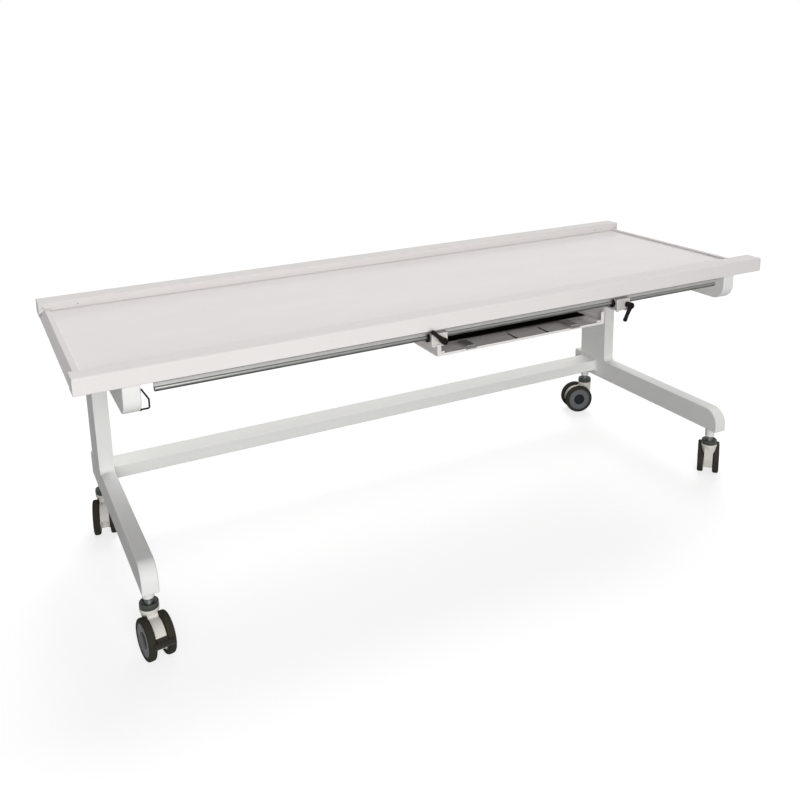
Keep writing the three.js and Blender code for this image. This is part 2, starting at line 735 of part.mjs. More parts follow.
// Bent wire loop on the inner face of the left arm
function wireLoop() {
  const x = -LEG_X + LEG_HALF;
  const y = -HALF_WIDTH + ARM_SETBACK + ARM_FRONT_RADIUS / 2;
  const top = RAIL_BOTTOM - LOOP_DROP;
  const low = ARM_BOTTOM + LOOP_RISE;
  const at = (dx, z) => new THREE.Vector3(x + dx, y, z);
  const stops = [
    at(0, top),
    at(LOOP_WIRE, top),
    at(LOOP_REACH, top - LOOP_SLOPE),
    at(LOOP_REACH, low),
    at(0, low),
  ];
  const path = new THREE.CurvePath();
  let start = stops[0];
  for (const k of [1, 2, 3]) {
    const before = stops[k].clone().add(stops[k - 1].clone().sub(stops[k]).setLength(LOOP_BEND));
    const after = stops[k].clone().add(stops[k + 1].clone().sub(stops[k]).setLength(LOOP_BEND));
    path.add(new THREE.LineCurve3(start, before));
    path.add(new THREE.QuadraticBezierCurve3(before, stops[k], after));
    start = after;
  }
  path.add(new THREE.LineCurve3(start, stops[4]));
  const section = [];
  for (let k = 0; k < 8; k += 1) {
    const angle = (2 * Math.PI * k) / 8;
    section.push(new THREE.Vector2(Math.cos(angle), Math.sin(angle)).multiplyScalar(LOOP_WIRE / 2));
  }
  return new THREE.ExtrudeGeometry(new THREE.Shape(section), { steps: 22, extrudePath: path });
}

// Caster parts are drawn with the stem on Z and the trail along +X
const COLLAR_TOP = CASTER_HEIGHT - BOSS_RISE;
const SWIVEL_Z = COLLAR_TOP - COLLAR_HEIGHT - FIT;
const WHEEL_R = WHEEL_DIAMETER / 2;
const HUB_R = HUB_DIAMETER / 2;

// Dished cap with a boss under the stub; its pin goes up into the stub and down into the fork
function collar() {
  const pin = PIN_DIAMETER / 2;
  const boss = BOSS_DIAMETER / 2;
  const wide = COLLAR_DIAMETER / 2;
  const low = SWIVEL_Z + FIT;
  const profile = [
    [0, SWIVEL_Z - PIN_DEPTH + CLEAR],
    [pin, SWIVEL_Z - PIN_DEPTH + CLEAR],
    [pin, low],
    [wide, low],
    [wide, COLLAR_TOP - COLLAR_RIM / 2],
    [wide - COLLAR_RIM / 2, COLLAR_TOP],
    [wide - COLLAR_RIM, COLLAR_TOP],
    [boss, COLLAR_TOP - DISH_DEPTH],
    [boss, CASTER_HEIGHT],
    [pin, CASTER_HEIGHT],
    [pin, CASTER_HEIGHT + STUB_LENGTH - 2 * TUBE_WALL],
    [0, CASTER_HEIGHT + STUB_LENGTH - 2 * TUBE_WALL],
  ];
  return lathe(profile, ROUND_SEGMENTS).rotateX(Math.PI / 2);
}

// Moulded body between the wheels: blades, a hood inside the tyres' outline and a front pocket for the pedal
function fork(pedal) {
  const half = FORK_WIDTH / 2;
  const wide = COLLAR_DIAMETER / 2;
  const ringLow = SWIVEL_Z - SWIVEL_RING_HEIGHT;
  const outer = WHEEL_R - HOOD_INSET;
  const [from, to] = HOOD_ANGLES;
  const hood = [];
  for (let k = 0; k <= 12; k += 1) {
    const angle = THREE.MathUtils.degToRad(from + ((to - from) * k) / 12);
    hood.push([CASTER_TRAIL + outer * Math.cos(angle), WHEEL_R + outer * Math.sin(angle)]);
  }
  const blade = barY(
    [
      [-wide + 4, ringLow + CLEAR],
      [-wide + 4, WHEEL_R + 8],
      [CASTER_TRAIL - WHEEL_R * 0.86, WHEEL_R - 20, 4],
      [CASTER_TRAIL - WHEEL_R * 0.28, WHEEL_R - 26, 6],
      [CASTER_TRAIL + WHEEL_R * 0.57, WHEEL_R - 24, 8],
      ...hood,
      [wide - 8, ringLow + CLEAR],
    ],
    -half,
    half,
  );
  const funnel = rodZ(wide - 1, WHEEL_R, ringLow + CLEAR, 0, 0, WHEEL_SEGMENTS, half);
  const ring = rodZ(wide, ringLow, SWIVEL_Z, 0, 0, WHEEL_SEGMENTS);
  const axle = rodY(
    AXLE_DIAMETER / 2,
    -(WHEEL_SPACING + WHEEL_WIDTH) / 2 + 3,
    (WHEEL_SPACING + WHEEL_WIDTH) / 2 - 3,
    CASTER_TRAIL,
    WHEEL_R,
  );
  const arches = [-1, 1].map((place) => rodY(
    WHEEL_R + 1.5 * CLEAR,
    place < 0 ? -2 * wide : half,
    place < 0 ? -half : 2 * wide,
    CASTER_TRAIL,
    WHEEL_R,
    2 * WHEEL_SEGMENTS,
  ));
  const shell = join(cut(join(blade, funnel, ring), ...arches), axle);
  const [px, pz] = pedalPivot();
  const roof = pedal ? pz + PEDAL_KNUCKLE + FIT : WHEEL_R + HOOD_END;
  const tools = [
    rodZ(PIN_DIAMETER / 2 + RUN, SWIVEL_Z - PIN_DEPTH, SWIVEL_Z + CLEAR, 0, 0),
    block(px - PEDAL_KNUCKLE - CLEAR, px + WHEEL_R, -half + BLADE_WALL, half - BLADE_WALL, 0, roof),
  ];
  if (pedal) {
    const front = px + PEDAL_KNUCKLE + CLEAR;
    tools.push(rodY(PEDAL_PIN / 2 + RUN, -half - CLEAR, half + CLEAR, px, pz));
    tools.push(block(front, px + WHEEL_R, -half - CLEAR, half + CLEAR, pz - PEDAL_HEIGHT, roof));
  }
  return cut(shell, ...tools);
}

function pedalPivot() {
  return [CASTER_TRAIL + PEDAL_REACH, WHEEL_R + PEDAL_RISE];
}

// Brake pedal: knuckle on a pin between the blades and a wide wedge-shaped tread beyond the wheels
function brakePedal() {
  const [px, pz] = pedalPivot();
  const half = FORK_WIDTH / 2;
  const inside = half - BLADE_WALL - CLEAR / 2;
  const tread = CASTER_TRAIL + WHEEL_R + 2.5 * CLEAR;
  const end = tread + PEDAL_TREAD;
  const top = pz + PEDAL_KNUCKLE;
  const low = top - PEDAL_HEIGHT;
  const apron = px + PEDAL_KNUCKLE + 2 * CLEAR;
  const neck = join(
    block(px, tread + CLEAR, -inside, inside, pz - PEDAL_KNUCKLE / 2, top - CLEAR),
    block(apron, tread + CLEAR, -half + CLEAR, half - CLEAR, pz - PEDAL_KNUCKLE / 2, top - CLEAR),
  );
  const wedge = barY(
    [
      [tread, low + 2],
      [end - 6, low, 2],
      [end, low + PEDAL_HEIGHT * 0.48],
      [end, low + PEDAL_HEIGHT * 0.68, 2],
      [tread + 2, top],
      [tread, top],
    ],
    -PEDAL_WIDTH / 2,
    PEDAL_WIDTH / 2,
  );
  return join(
    rodY(PEDAL_PIN / 2, -half, half, px, pz),
    rodY(PEDAL_KNUCKLE, -inside, inside, px, pz),
    neck,
    wedge,
  );
}

function tyre() {
  const half = WHEEL_WIDTH / 2;
  return lathe(
    [
      [HUB_R, -half],
      [WHEEL_R - 4, -half],
      [WHEEL_R - 1.2, -half + 1.5],
      [WHEEL_R, -half + 4.5],
      [WHEEL_R, half - 4.5],
      [WHEEL_R - 1.2, half - 1.5],
      [WHEEL_R - 4, half],
      [HUB_R, half],
      [HUB_R, -half],
    ],
    WHEEL_SEGMENTS,
  );
}

// Dished wheel disc with a raised centre; its blind bore runs on the axle
function hub() {
  const half = WHEEL_WIDTH / 2;
  const bore = AXLE_DIAMETER / 2 + RUN;
  return lathe(
    [
      [0, half],
      [15, half],
      [16.5, half - 1.8],
      [HUB_R - 4, half - 1.8],
      [HUB_R - 2.5, half],
      [HUB_R, half],
      [HUB_R, -half],
      [bore, -half],
      [bore, half - 2.5],
      [0, half - 2.5],
    ],
    WHEEL_SEGMENTS,
  );
}

add('top_panel', topPanel(), LAMINATE);
add('front_rail', sideRail(-1), POWDER_WHITE);
add('rear_rail', sideRail(1), POWDER_WHITE);
add('left_end_trim', endTrim(-1), POWDER_WHITE);
add('right_end_trim', endTrim(1), POWDER_WHITE);
for (const [name, end] of [['left', -1], ['right', 1]]) {
  add(`${name}_arm`, arm(end), LEG_WHITE);
  add(`${name}_column`, column(end), LEG_WHITE);
  add(`${name}_foot`, foot(end), LEG_WHITE);
  add(`${name}_stretcher_flange`, stretcherFlange(end), LEG_WHITE);
}
add('stretcher', stretcher(), LEG_WHITE);
for (const [name, side] of [['front', -1], ['rear', 1]]) {
  add(`${name}_guide_support`, guideSupport(side), ALUMINIUM);
  add(`${name}_guide_shaft`, guideShaft(side), BRIGHT_STEEL);
  add(`${name}_left_block`, bearingBlock(side, -1), BLOCK_GREY);
  add(`${name}_right_block`, bearingBlock(side, 1), BLOCK_GREY);
}
add('front_left_bearing', bearing(-1), SEAL_DARK);
add('front_right_bearing', bearing(1), SEAL_DARK);
add('cassette_tray', cassetteTray(), POWDER_WHITE);
add('drawer_plate', drawerPlate(), SHEET_GREY);
add('drawer_mat', drawerMat(), MAT_BLACK);
add('left_clamp_lever', clampLever(-1, LEVER_ANGLES[0]), LEVER_BLACK);
add('right_clamp_lever', clampLever(1, LEVER_ANGLES[1]), LEVER_BLACK);
add('wire_loop', wireLoop(), LEVER_BLACK);

for (const { name, side, end, swing, pedal } of CASTERS) {
  const place = (geometry) => geometry
    .rotateZ(THREE.MathUtils.degToRad(swing))
    .translate(side * LEG_X, end * CASTER_Y, 0);
  add(`${name}_collar`, place(collar()), COLLAR_GREY);
  add(`${name}_fork`, place(fork(pedal)), FORK_GREY);
  for (const [wheel, turn, offset] of [['a', Math.PI, -1], ['b', 0, 1]]) {
    const seat = (geometry) => place(
      geometry.rotateZ(turn).translate(CASTER_TRAIL, (offset * WHEEL_SPACING) / 2, WHEEL_R),
    );
    add(`${name}_tyre_${wheel}`, seat(tyre()), TYRE_GREY);
    add(`${name}_hub_${wheel}`, seat(hub()), HUB_GREY);
  }
  if (pedal) add(`${name}_pedal`, place(brakePedal()), LEVER_BLACK);
}

// Origin on the floor under the middle of the whole outline
const bounds = new THREE.Box3().setFromObject(table);
const middle = bounds.getCenter(new THREE.Vector3());
for (const mesh of table.children) mesh.geometry.translate(-middle.x, -middle.y, -bounds.min.z);

export default table;
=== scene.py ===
"""Mobile radiography table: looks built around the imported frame."""

import json
import math

import bmesh
import bpy
from bpy.props import FloatProperty, FloatVectorProperty, PointerProperty
from mathutils import Matrix, Vector


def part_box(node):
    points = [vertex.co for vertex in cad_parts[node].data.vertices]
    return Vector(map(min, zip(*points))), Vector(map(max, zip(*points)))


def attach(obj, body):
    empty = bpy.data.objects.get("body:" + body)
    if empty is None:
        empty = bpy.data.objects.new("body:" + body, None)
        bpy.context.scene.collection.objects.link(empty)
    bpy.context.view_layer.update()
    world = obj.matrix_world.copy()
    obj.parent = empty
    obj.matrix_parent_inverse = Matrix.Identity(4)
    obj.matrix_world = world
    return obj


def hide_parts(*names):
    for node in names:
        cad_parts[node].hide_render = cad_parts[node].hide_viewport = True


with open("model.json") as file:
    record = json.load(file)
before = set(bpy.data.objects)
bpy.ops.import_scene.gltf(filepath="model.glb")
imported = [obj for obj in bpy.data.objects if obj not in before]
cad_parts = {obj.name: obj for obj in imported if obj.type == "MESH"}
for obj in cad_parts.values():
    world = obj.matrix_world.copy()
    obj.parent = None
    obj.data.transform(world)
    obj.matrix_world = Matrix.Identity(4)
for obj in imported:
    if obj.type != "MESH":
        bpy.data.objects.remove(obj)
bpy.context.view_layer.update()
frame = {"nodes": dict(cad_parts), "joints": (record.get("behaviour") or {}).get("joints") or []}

bl_info = {
    "name": "Radiography table",
    "version": (1, 0, 0),
    "blender": (4, 5, 0),
    "location": "View3D > Sidebar > Table",
    "description": "Dresses the packed frame of a mobile radiography table",
    "category": "Object",
}

MM = 0.001
JOINTS = {joint["name"]: joint for joint in frame["joints"]}
TABLE_Y = (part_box("front_rail")[0].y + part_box("rear_rail")[1].y) / 2
CASTERS = ("fl", "fr", "rl", "rr")
ENDS = (("left", -1), ("right", 1))
SIDES = (("front", -1), ("rear", 1))


def from_srgb(red, green, blue):
    """Linear colour from 0-255 values."""
    def channel(value):
        value /= 255
        return value / 12.92 if value <= 0.04045 else ((value + 0.055) / 1.055) ** 2.4
    return tuple(channel(value) for value in (red, green, blue))


def length(name, description, default):
    return FloatProperty(name=name, description=description, default=default, min=0, unit="LENGTH", precision=5)


def colour(name, description, rgb):
    return FloatVectorProperty(
        name=name, description=description, default=from_srgb(*rgb), size=3, min=0, max=1, subtype="COLOR")


class TableSizes(bpy.types.PropertyGroup):
    """Sizes of the finish that a maker would change"""
    rail_radius: length("Rail edge", "Radius along the long edges of the side rails", 4.5 * MM)
    rail_end: length("Rail end", "Small rounding round the end faces of the rails", 1.0 * MM)
    groove_depth: length("Board groove", "Depth of the groove that holds the board in the rails", 12 * MM)
    trim_groove: length("Trim groove", "Depth of the groove that holds the board in the end trims", 8 * MM)
    trim_top: length("Trim top", "Width of the flat on top of the end trims", 13.5 * MM)
    tongue: length("Board tongue", "Thickness of the tongue round the board", 8 * MM)
    board_gap: length("Board gap", "Air over the board in its grooves", 0.3 * MM)
    board_edge: length("Board edge", "Rounding of the board", 0.3 * MM)
    tube_radius: length("Tube corner", "Corner radius of the leg tubes", 3.5 * MM)
    arm_nose: length("Arm nose", "Radius under the front end of the arms", 42 * MM)
    arm_tail: length("Arm tail", "Radius under the rear end of the arms", 20 * MM)
    column_flare: length("Column flare", "Radius where the column runs into the foot", 12 * MM)
    foot_toe: length("Foot toe", "Radius over the toe of the feet", 45 * MM)
    foot_edge: length("Foot edge", "Radius of the other foot corners", 3 * MM)
    stub_radius: length("Stub radius", "Radius of the caster stubs under the feet", 14 * MM)
    weld: length("Weld bead", "Radius of the painted weld beads", 2.2 * MM)
    cross_radius: length("Cross tube corner", "Corner radius of the cross tube", 3 * MM)
    guide_base: length("Guide base", "Thickness of the guide support's base", 6 * MM)
    guide_web: length("Guide web", "Thickness of the guide support's web", 8 * MM)
    guide_line: length("Guide line", "Half width and depth of the line along the guide base", 0.8 * MM)
    guide_screw_pitch: length("Guide screw pitch", "Distance between the guide's screws", 110 * MM)
    block_edge: length("Block edge", "Rounding of the bearing blocks", 1.6 * MM)
    bearing_wall: length("Bearing wall", "Wall of the dark bearings", 3 * MM)
    bearing_flange: length("Bearing flange", "Width and thickness of the bearing flanges", 4.2 * MM)
    sheet_edge: length("Sheet edge", "Rounding of folded sheet edges", 0.7 * MM)
    # Places of the dark strips that paint shade into the tray's floor slots
    left_slot_shade: FloatProperty(
        name="Left strip", description="Place of the left floor strip from the middle of the tray",
        default=-15 * MM, unit="LENGTH")
    right_slot_shade: FloatProperty(
        name="Right strip", description="Place of the right floor strip from the middle of the tray",
        default=88 * MM, unit="LENGTH")
    mat_edge: length("Mat edge", "Rounding of the drawer mat", 0.5 * MM)
    lever_length: length("Lever length", "Hub to tip of the clamp levers", 48 * MM)
    lever_hub: length("Lever hub", "Radius of the lever hubs", 9 * MM)
    lever_hub_depth: length("Lever hub depth", "Depth of the lever hubs", 22 * MM)
    left_lever_angle: FloatProperty(
        name="Left lever", description="Rest direction of the left lever from +X towards +Z",
        default=math.radians(139), subtype="ANGLE")
    right_lever_angle: FloatProperty(
        name="Right lever", description="Rest direction of the right lever from +X towards +Z",
        default=math.radians(244), subtype="ANGLE")
    loop_slope: length("Loop slope", "Fall of the loop's upper run", 26 * MM)
    loop_wire: length("Loop wire", "Radius of the wire loop", 2 * MM)
    wheel_radius: length("Wheel radius", "Radius of the caster wheels", 50 * MM)
    tyre_shoulder: length("Tyre shoulder", "Rounding of the tyre shoulders", 5 * MM)
    disc_radius: length("Disc radius", "Radius of the visible wheel disc", 38.5 * MM)
    cap_radius: length("Cap radius", "Radius of the dark wheel cap", 19.5 * MM)
    cap_rim: length("Cap rim", "Width of the rim round the caster caps", 4 * MM)
    dish_depth: length("Dish depth", "Depth of the dish inside the rim of the caster caps", 7 * MM)
    boss_radius: length("Boss radius", "Radius of the boss between caster cap and stub", 10 * MM)
    boss_rise: length("Boss rise", "Height of the boss over the rim of the caster cap", 11 * MM)
    pedal_edge: length("Pedal edge", "Rounding of the brake pedals", 1.2 * MM)
    pedal_brow: length("Pedal brow", "Half width of the brow over the neck of the brake pedals", 13 * MM)
    pedal_rib: length("Pedal rib", "Radius of the grip ribs on the brake pedals", 0.7 * MM)
    fork_voxel: length("Moulding detail", "Grid for the moulded caster bodies", 0.8 * MM)
    camera_lens: FloatProperty(name="Lens", description="Focal length in millimetres", default=40.116, min=10)


class TableColours(bpy.types.PropertyGroup):
    """Colours of the finishes"""
    board: colour("Board", "Laminate of the top board", (235, 230, 229))
    rail_paint: colour("Rail paint", "Powder coat of rails, trims and tray", (230, 226, 224))
    leg_paint: colour("Leg paint", "Powder coat of arms, columns, feet and cross tube", (237, 237, 234))
    aluminium: colour("Aluminium", "Guide supports", (192, 191, 189))
    bright_steel: colour("Bright steel", "Guide shafts", (150, 151, 149))
    block_paint: colour("Block paint", "Bearing blocks", (208, 203, 198))
    seal: colour("Bearing", "Dark bearings", (24, 21, 20))
    lever: colour("Lever", "Clamp levers and wire loop", (21, 17, 16))
    sheet: colour("Sheet", "Drawer plate", (180, 178, 176))
    mat: colour("Mat", "Drawer mat", (14, 12, 10))
    collar: colour("Collar", "Caster caps", (68, 73, 67))
    fork: colour("Fork", "Caster bodies", (224, 221, 214))
    tyre: colour("Tyre", "Caster tyres", (60, 57, 50))
    disc: colour("Disc", "Wheel discs", (104, 108, 110))
    cap: colour("Cap", "Wheel caps", (22, 24, 27))
    pedal: colour("Pedal", "Brake pedals", (58, 56, 52))
    dish: colour("Dish", "Plated dish inside the caster caps", (92, 97, 94))
    screw: colour("Screw", "Zinc plated screws", (176, 174, 170))
    dust: colour("Dust", "Dust that settles on dark pieces", (168, 164, 156))
    rubbed: colour("Rubbed edge", "Edges that hands and shoes have rubbed", (150, 147, 141))
    # Painted shade for the downward faces of the guides and shafts
    underside_shade: colour("Underside shade", "Painted shade on the undersides of the guides and shafts", (24, 23, 22))


def sizes():
    return bpy.context.scene.table_sizes


def colours():
    return bpy.context.scene.table_colours


# Shared shader effects


def socket(group, name, kind, way, default=None):
    made = group.interface.new_socket(name=name, socket_type=kind, in_out=way)
    if default is not None:
        made.default_value = default
    return made


def grain_group():
    """Fine orange-peel height and a slow tone drift, both as values round one half"""
    group = bpy.data.node_groups.new("surface_grain", "ShaderNodeTree")
    socket(group, "Vector", "NodeSocketVector", "INPUT")
    socket(group, "Fine Scale", "NodeSocketFloat", "INPUT", 900.0)
    socket(group, "Drift Scale", "NodeSocketFloat", "INPUT", 3.0)
    socket(group, "Height", "NodeSocketFloat", "OUTPUT")
    socket(group, "Drift", "NodeSocketFloat", "OUTPUT")
    start = group.nodes.new("NodeGroupInput")
    end = group.nodes.new("NodeGroupOutput")
    fine = group.nodes.new("ShaderNodeTexNoise")
    fine.inputs["Detail"].default_value = 2.0
    slow = group.nodes.new("ShaderNodeTexNoise")
    slow.inputs["Detail"].default_value = 4.0
    slow.inputs["Roughness"].default_value = 0.6
    link = group.links.new
    link(start.outputs["Vector"], fine.inputs["Vector"])
    link(start.outputs["Vector"], slow.inputs["Vector"])
    link(start.outputs["Fine Scale"], fine.inputs["Scale"])
    link(start.outputs["Drift Scale"], slow.inputs["Scale"])
    link(fine.outputs["Fac"], end.inputs["Height"])
    link(slow.outputs["Fac"], end.inputs["Drift"])
    return group


def streak_and_sheen_group():
    """Drawn or brushed lines on the metals, and broad painted sheen streaks on the laminate: noise stretched along
    one direction
    """
    group = bpy.data.node_groups.new("drawn_streaks_and_sheen", "ShaderNodeTree")
    socket(group, "Vector", "NodeSocketVector", "INPUT")
    socket(group, "Stretch", "NodeSocketVector", "INPUT", (1.0, 1.0, 1.0))
    socket(group, "Scale", "NodeSocketFloat", "INPUT", 1.0)
    socket(group, "Lines", "NodeSocketFloat", "OUTPUT")
    start = group.nodes.new("NodeGroupInput")
    end = group.nodes.new("NodeGroupOutput")
    scale = group.nodes.new("ShaderNodeVectorMath")
    scale.operation = "MULTIPLY"
    lines = group.nodes.new("ShaderNodeTexNoise")
    lines.inputs["Detail"].default_value = 6.0
    lines.inputs["Roughness"].default_value = 0.65
    link = group.links.new
    link(start.outputs["Vector"], scale.inputs[0])
    link(start.outputs["Stretch"], scale.inputs[1])
    link(scale.outputs["Vector"], lines.inputs["Vector"])
    link(start.outputs["Scale"], lines.inputs["Scale"])
    link(lines.outputs["Fac"], end.inputs["Lines"])
    return group


def dust_group():
    """Mask of dust that settles on upward faces and in patches"""
    group = bpy.data.node_groups.new("settled_dust", "ShaderNodeTree")
    socket(group, "Vector", "NodeSocketVector", "INPUT")
    socket(group, "Amount", "NodeSocketFloat", "INPUT", 0.3)
    socket(group, "Mask", "NodeSocketFloat", "OUTPUT")
    start = group.nodes.new("NodeGroupInput")
    end = group.nodes.new("NodeGroupOutput")
    patch = group.nodes.new("ShaderNodeTexNoise")
    patch.inputs["Scale"].default_value = 60.0
    patch.inputs["Detail"].default_value = 5.0
    facing = group.nodes.new("ShaderNodeNewGeometry")
    split = group.nodes.new("ShaderNodeSeparateXYZ")
    lift = group.nodes.new("ShaderNodeMapRange")
    lift.inputs["From Min"].default_value = -0.4
    lift.inputs["From Max"].default_value = 1.0
    both = group.nodes.new("ShaderNodeMath")
    both.operation = "MULTIPLY"
    amount = group.nodes.new("ShaderNodeMath")
    amount.operation = "MULTIPLY"
    link = group.links.new
    link(start.outputs["Vector"], patch.inputs["Vector"])
    link(facing.outputs["Normal"], split.inputs["Vector"])
    link(split.outputs["Z"], lift.inputs["Value"])
    link(lift.outputs["Result"], both.inputs[0])
    link(patch.outputs["Fac"], both.inputs[1])
    link(both.outputs["Value"], amount.inputs[0])
    link(start.outputs["Amount"], amount.inputs[1])
    link(amount.outputs["Value"], end.inputs["Mask"])
    return group


def rub_group():
    """Mask of edges that hands and shoes rub, broken into patches"""
    group = bpy.data.node_groups.new("rubbed_edges", "ShaderNodeTree")
    socket(group, "Vector", "NodeSocketVector", "INPUT")
    socket(group, "Width", "NodeSocketFloat", "INPUT", 1.5 * MM)
    socket(group, "Amount", "NodeSocketFloat", "INPUT", 0.3)
    socket(group, "Mask", "NodeSocketFloat", "OUTPUT")
    start = group.nodes.new("NodeGroupInput")
    end = group.nodes.new("NodeGroupOutput")
    spread = group.nodes.new("ShaderNodeBevel")
    facing = group.nodes.new("ShaderNodeNewGeometry")
    match = group.nodes.new("ShaderNodeVectorMath")
    match.operation = "DOT_PRODUCT"
    edge = group.nodes.new("ShaderNodeMapRange")
    edge.inputs["From Min"].default_value = 0.995
    edge.inputs["From Max"].default_value = 0.9
    patch = group.nodes.new("ShaderNodeTexNoise")
    patch.inputs["Scale"].default_value = 85.0
    patch.inputs["Detail"].default_value = 6.0
    broken = group.nodes.new("ShaderNodeMapRange")
    broken.inputs["From Min"].default_value = 0.42
    broken.inputs["From Max"].default_value = 0.62
    both = group.nodes.new("ShaderNodeMath")
    both.operation = "MULTIPLY"
    amount = group.nodes.new("ShaderNodeMath")
    amount.operation = "MULTIPLY"
    link = group.links.new
    link(start.outputs["Width"], spread.inputs["Radius"])
    link(spread.outputs["Normal"], match.inputs[0])
    link(facing.outputs["Normal"], match.inputs[1])
    link(match.outputs["Value"], edge.inputs["Value"])
    link(start.outputs["Vector"], patch.inputs["Vector"])
    link(patch.outputs["Fac"], broken.inputs["Value"])
    link(edge.outputs["Result"], both.inputs[0])
    link(broken.outputs["Result"], both.inputs[1])
    link(both.outputs["Value"], amount.inputs[0])
    link(start.outputs["Amount"], amount.inputs[1])
    link(amount.outputs["Value"], end.inputs["Mask"])
    return group


def painted_shade_group():
    """Mask of painted shade on faces that look down, uneven in patches, in place of the darker reflections under a
    rod or bar
    """
    group = bpy.data.node_groups.new("painted_underside_shade", "ShaderNodeTree")
    socket(group, "Vector", "NodeSocketVector", "INPUT")
    socket(group, "Amount", "NodeSocketFloat", "INPUT", 0.8)
    socket(group, "Mask", "NodeSocketFloat", "OUTPUT")
    start = group.nodes.new("NodeGroupInput")
    end = group.nodes.new("NodeGroupOutput")
    facing = group.nodes.new("ShaderNodeNewGeometry")
    split = group.nodes.new("ShaderNodeSeparateXYZ")
    under = group.nodes.new("ShaderNodeMapRange")
    under.inputs["From Min"].default_value = 0.45
    under.inputs["From Max"].default_value = -0.5
    patch = group.nodes.new("ShaderNodeTexNoise")
    patch.inputs["Scale"].default_value = 40.0
    patch.inputs["Detail"].default_value = 4.0
    uneven = group.nodes.new("ShaderNodeMapRange")
    uneven.inputs["From Min"].default_value = 0.3
    uneven.inputs["From Max"].default_value = 0.6
    uneven.inputs["To Min"].default_value = 0.8
    both = group.nodes.new("ShaderNodeMath")
    both.operation = "MULTIPLY"
    amount = group.nodes.new("ShaderNodeMath")
    amount.operation = "MULTIPLY"
    link = group.links.new
    link(facing.outputs["Normal"], split.inputs["Vector"])
    link(split.outputs["Z"], under.inputs["Value"])
    link(start.outputs["Vector"], patch.inputs["Vector"])
    link(patch.outputs["Fac"], uneven.inputs["Value"])
    link(under.outputs["Result"], both.inputs[0])
    link(uneven.outputs["Result"], both.inputs[1])
    link(both.outputs["Value"], amount.inputs[0])
    link(start.outputs["Amount"], amount.inputs[1])
    link(amount.outputs["Value"], end.inputs["Mask"])
    return group


def shared_group(name, make):
    return bpy.data.node_groups.get(name) or make()


def finish_material(
        name, rgb, rough, metal=0.0, drift=0.05, fine_scale=900.0, bump=0.02, bump_depth=0.0004,
        rough_drift=0.06, stretch=None, streak_scale=1.0, dust=0.0, rub=0.0, underside_shade=0.0, specular=0.5):
    """Principled finish whose colour, roughness and relief change over the surface"""
    made = bpy.data.materials.new(name)
    made.use_nodes = True
    tree = made.node_tree
    link = tree.links.new
    shader = tree.nodes["Principled BSDF"]
    shader.inputs["Metallic"].default_value = metal
    shader.inputs["Specular IOR Level"].default_value = specular
    place = tree.nodes.new("ShaderNodeTexCoord")
    grain = tree.nodes.new("ShaderNodeGroup")
    grain.node_tree = shared_group("surface_grain", grain_group)
    grain.inputs["Fine Scale"].default_value = fine_scale
    link(place.outputs["Object"], grain.inputs["Vector"])
    tone = grain.outputs["Drift"]
    relief = grain.outputs["Height"]
    if stretch:
        lines = tree.nodes.new("ShaderNodeGroup")
        lines.node_tree = shared_group("drawn_streaks_and_sheen", streak_and_sheen_group)
        lines.inputs["Stretch"].default_value = stretch
        lines.inputs["Scale"].default_value = streak_scale
        link(place.outputs["Object"], lines.inputs["Vector"])
        tone = lines.outputs["Lines"]
        relief = tone if metal else relief
    ramp = tree.nodes.new("ShaderNodeValToRGB")
    ramp.color_ramp.elements[0].position = 0.25
    ramp.color_ramp.elements[1].position = 0.75
    ramp.color_ramp.elements[0].color = (*(max(0.0, part * (1 - drift)) for part in rgb), 1)
    ramp.color_ramp.elements[1].color = (*(min(1.0, part * (1 + drift)) for part in rgb), 1)
    link(tone, ramp.inputs["Fac"])
    paint = ramp.outputs["Color"]
    # Dust and rubbed edges are real marks; the underside layer paints shade on faces that look down
    layers = (
        (dust, "settled_dust", dust_group, colours().dust),
        (rub, "rubbed_edges", rub_group, colours().rubbed),
        (underside_shade, "painted_underside_shade", painted_shade_group, colours().underside_shade),
    )
    for amount, label, make, shade in layers:
        if not amount:
            continue
        layer = tree.nodes.new("ShaderNodeGroup")
        layer.node_tree = shared_group(label, make)
        layer.inputs["Amount"].default_value = amount
        link(place.outputs["Object"], layer.inputs["Vector"])
        mix = tree.nodes.new("ShaderNodeMix")
        mix.data_type = "RGBA"
        mix.inputs["B"].default_value = (*shade, 1)
        link(layer.outputs["Mask"], mix.inputs["Factor"])
        link(paint, mix.inputs["A"])
        paint = mix.outputs["Result"]
    link(paint, shader.inputs["Base Color"])
    shine = tree.nodes.new("ShaderNodeMapRange")
    shine.inputs["From Min"].default_value = 0.3
    shine.inputs["From Max"].default_value = 0.7
    shine.inputs["To Min"].default_value = max(0.02, rough - rough_drift)
    shine.inputs["To Max"].default_value = min(1.0, rough + rough_drift)
    link(tone, shine.inputs["Value"])
    link(shine.outputs["Result"], shader.inputs["Roughness"])
    relief_node = tree.nodes.new("ShaderNodeBump")
    relief_node.inputs["Strength"].default_value = bump
    relief_node.inputs["Distance"].default_value = bump_depth
    link(relief, relief_node.inputs["Height"])
    link(relief_node.outputs["Normal"], shader.inputs["Normal"])
    return made


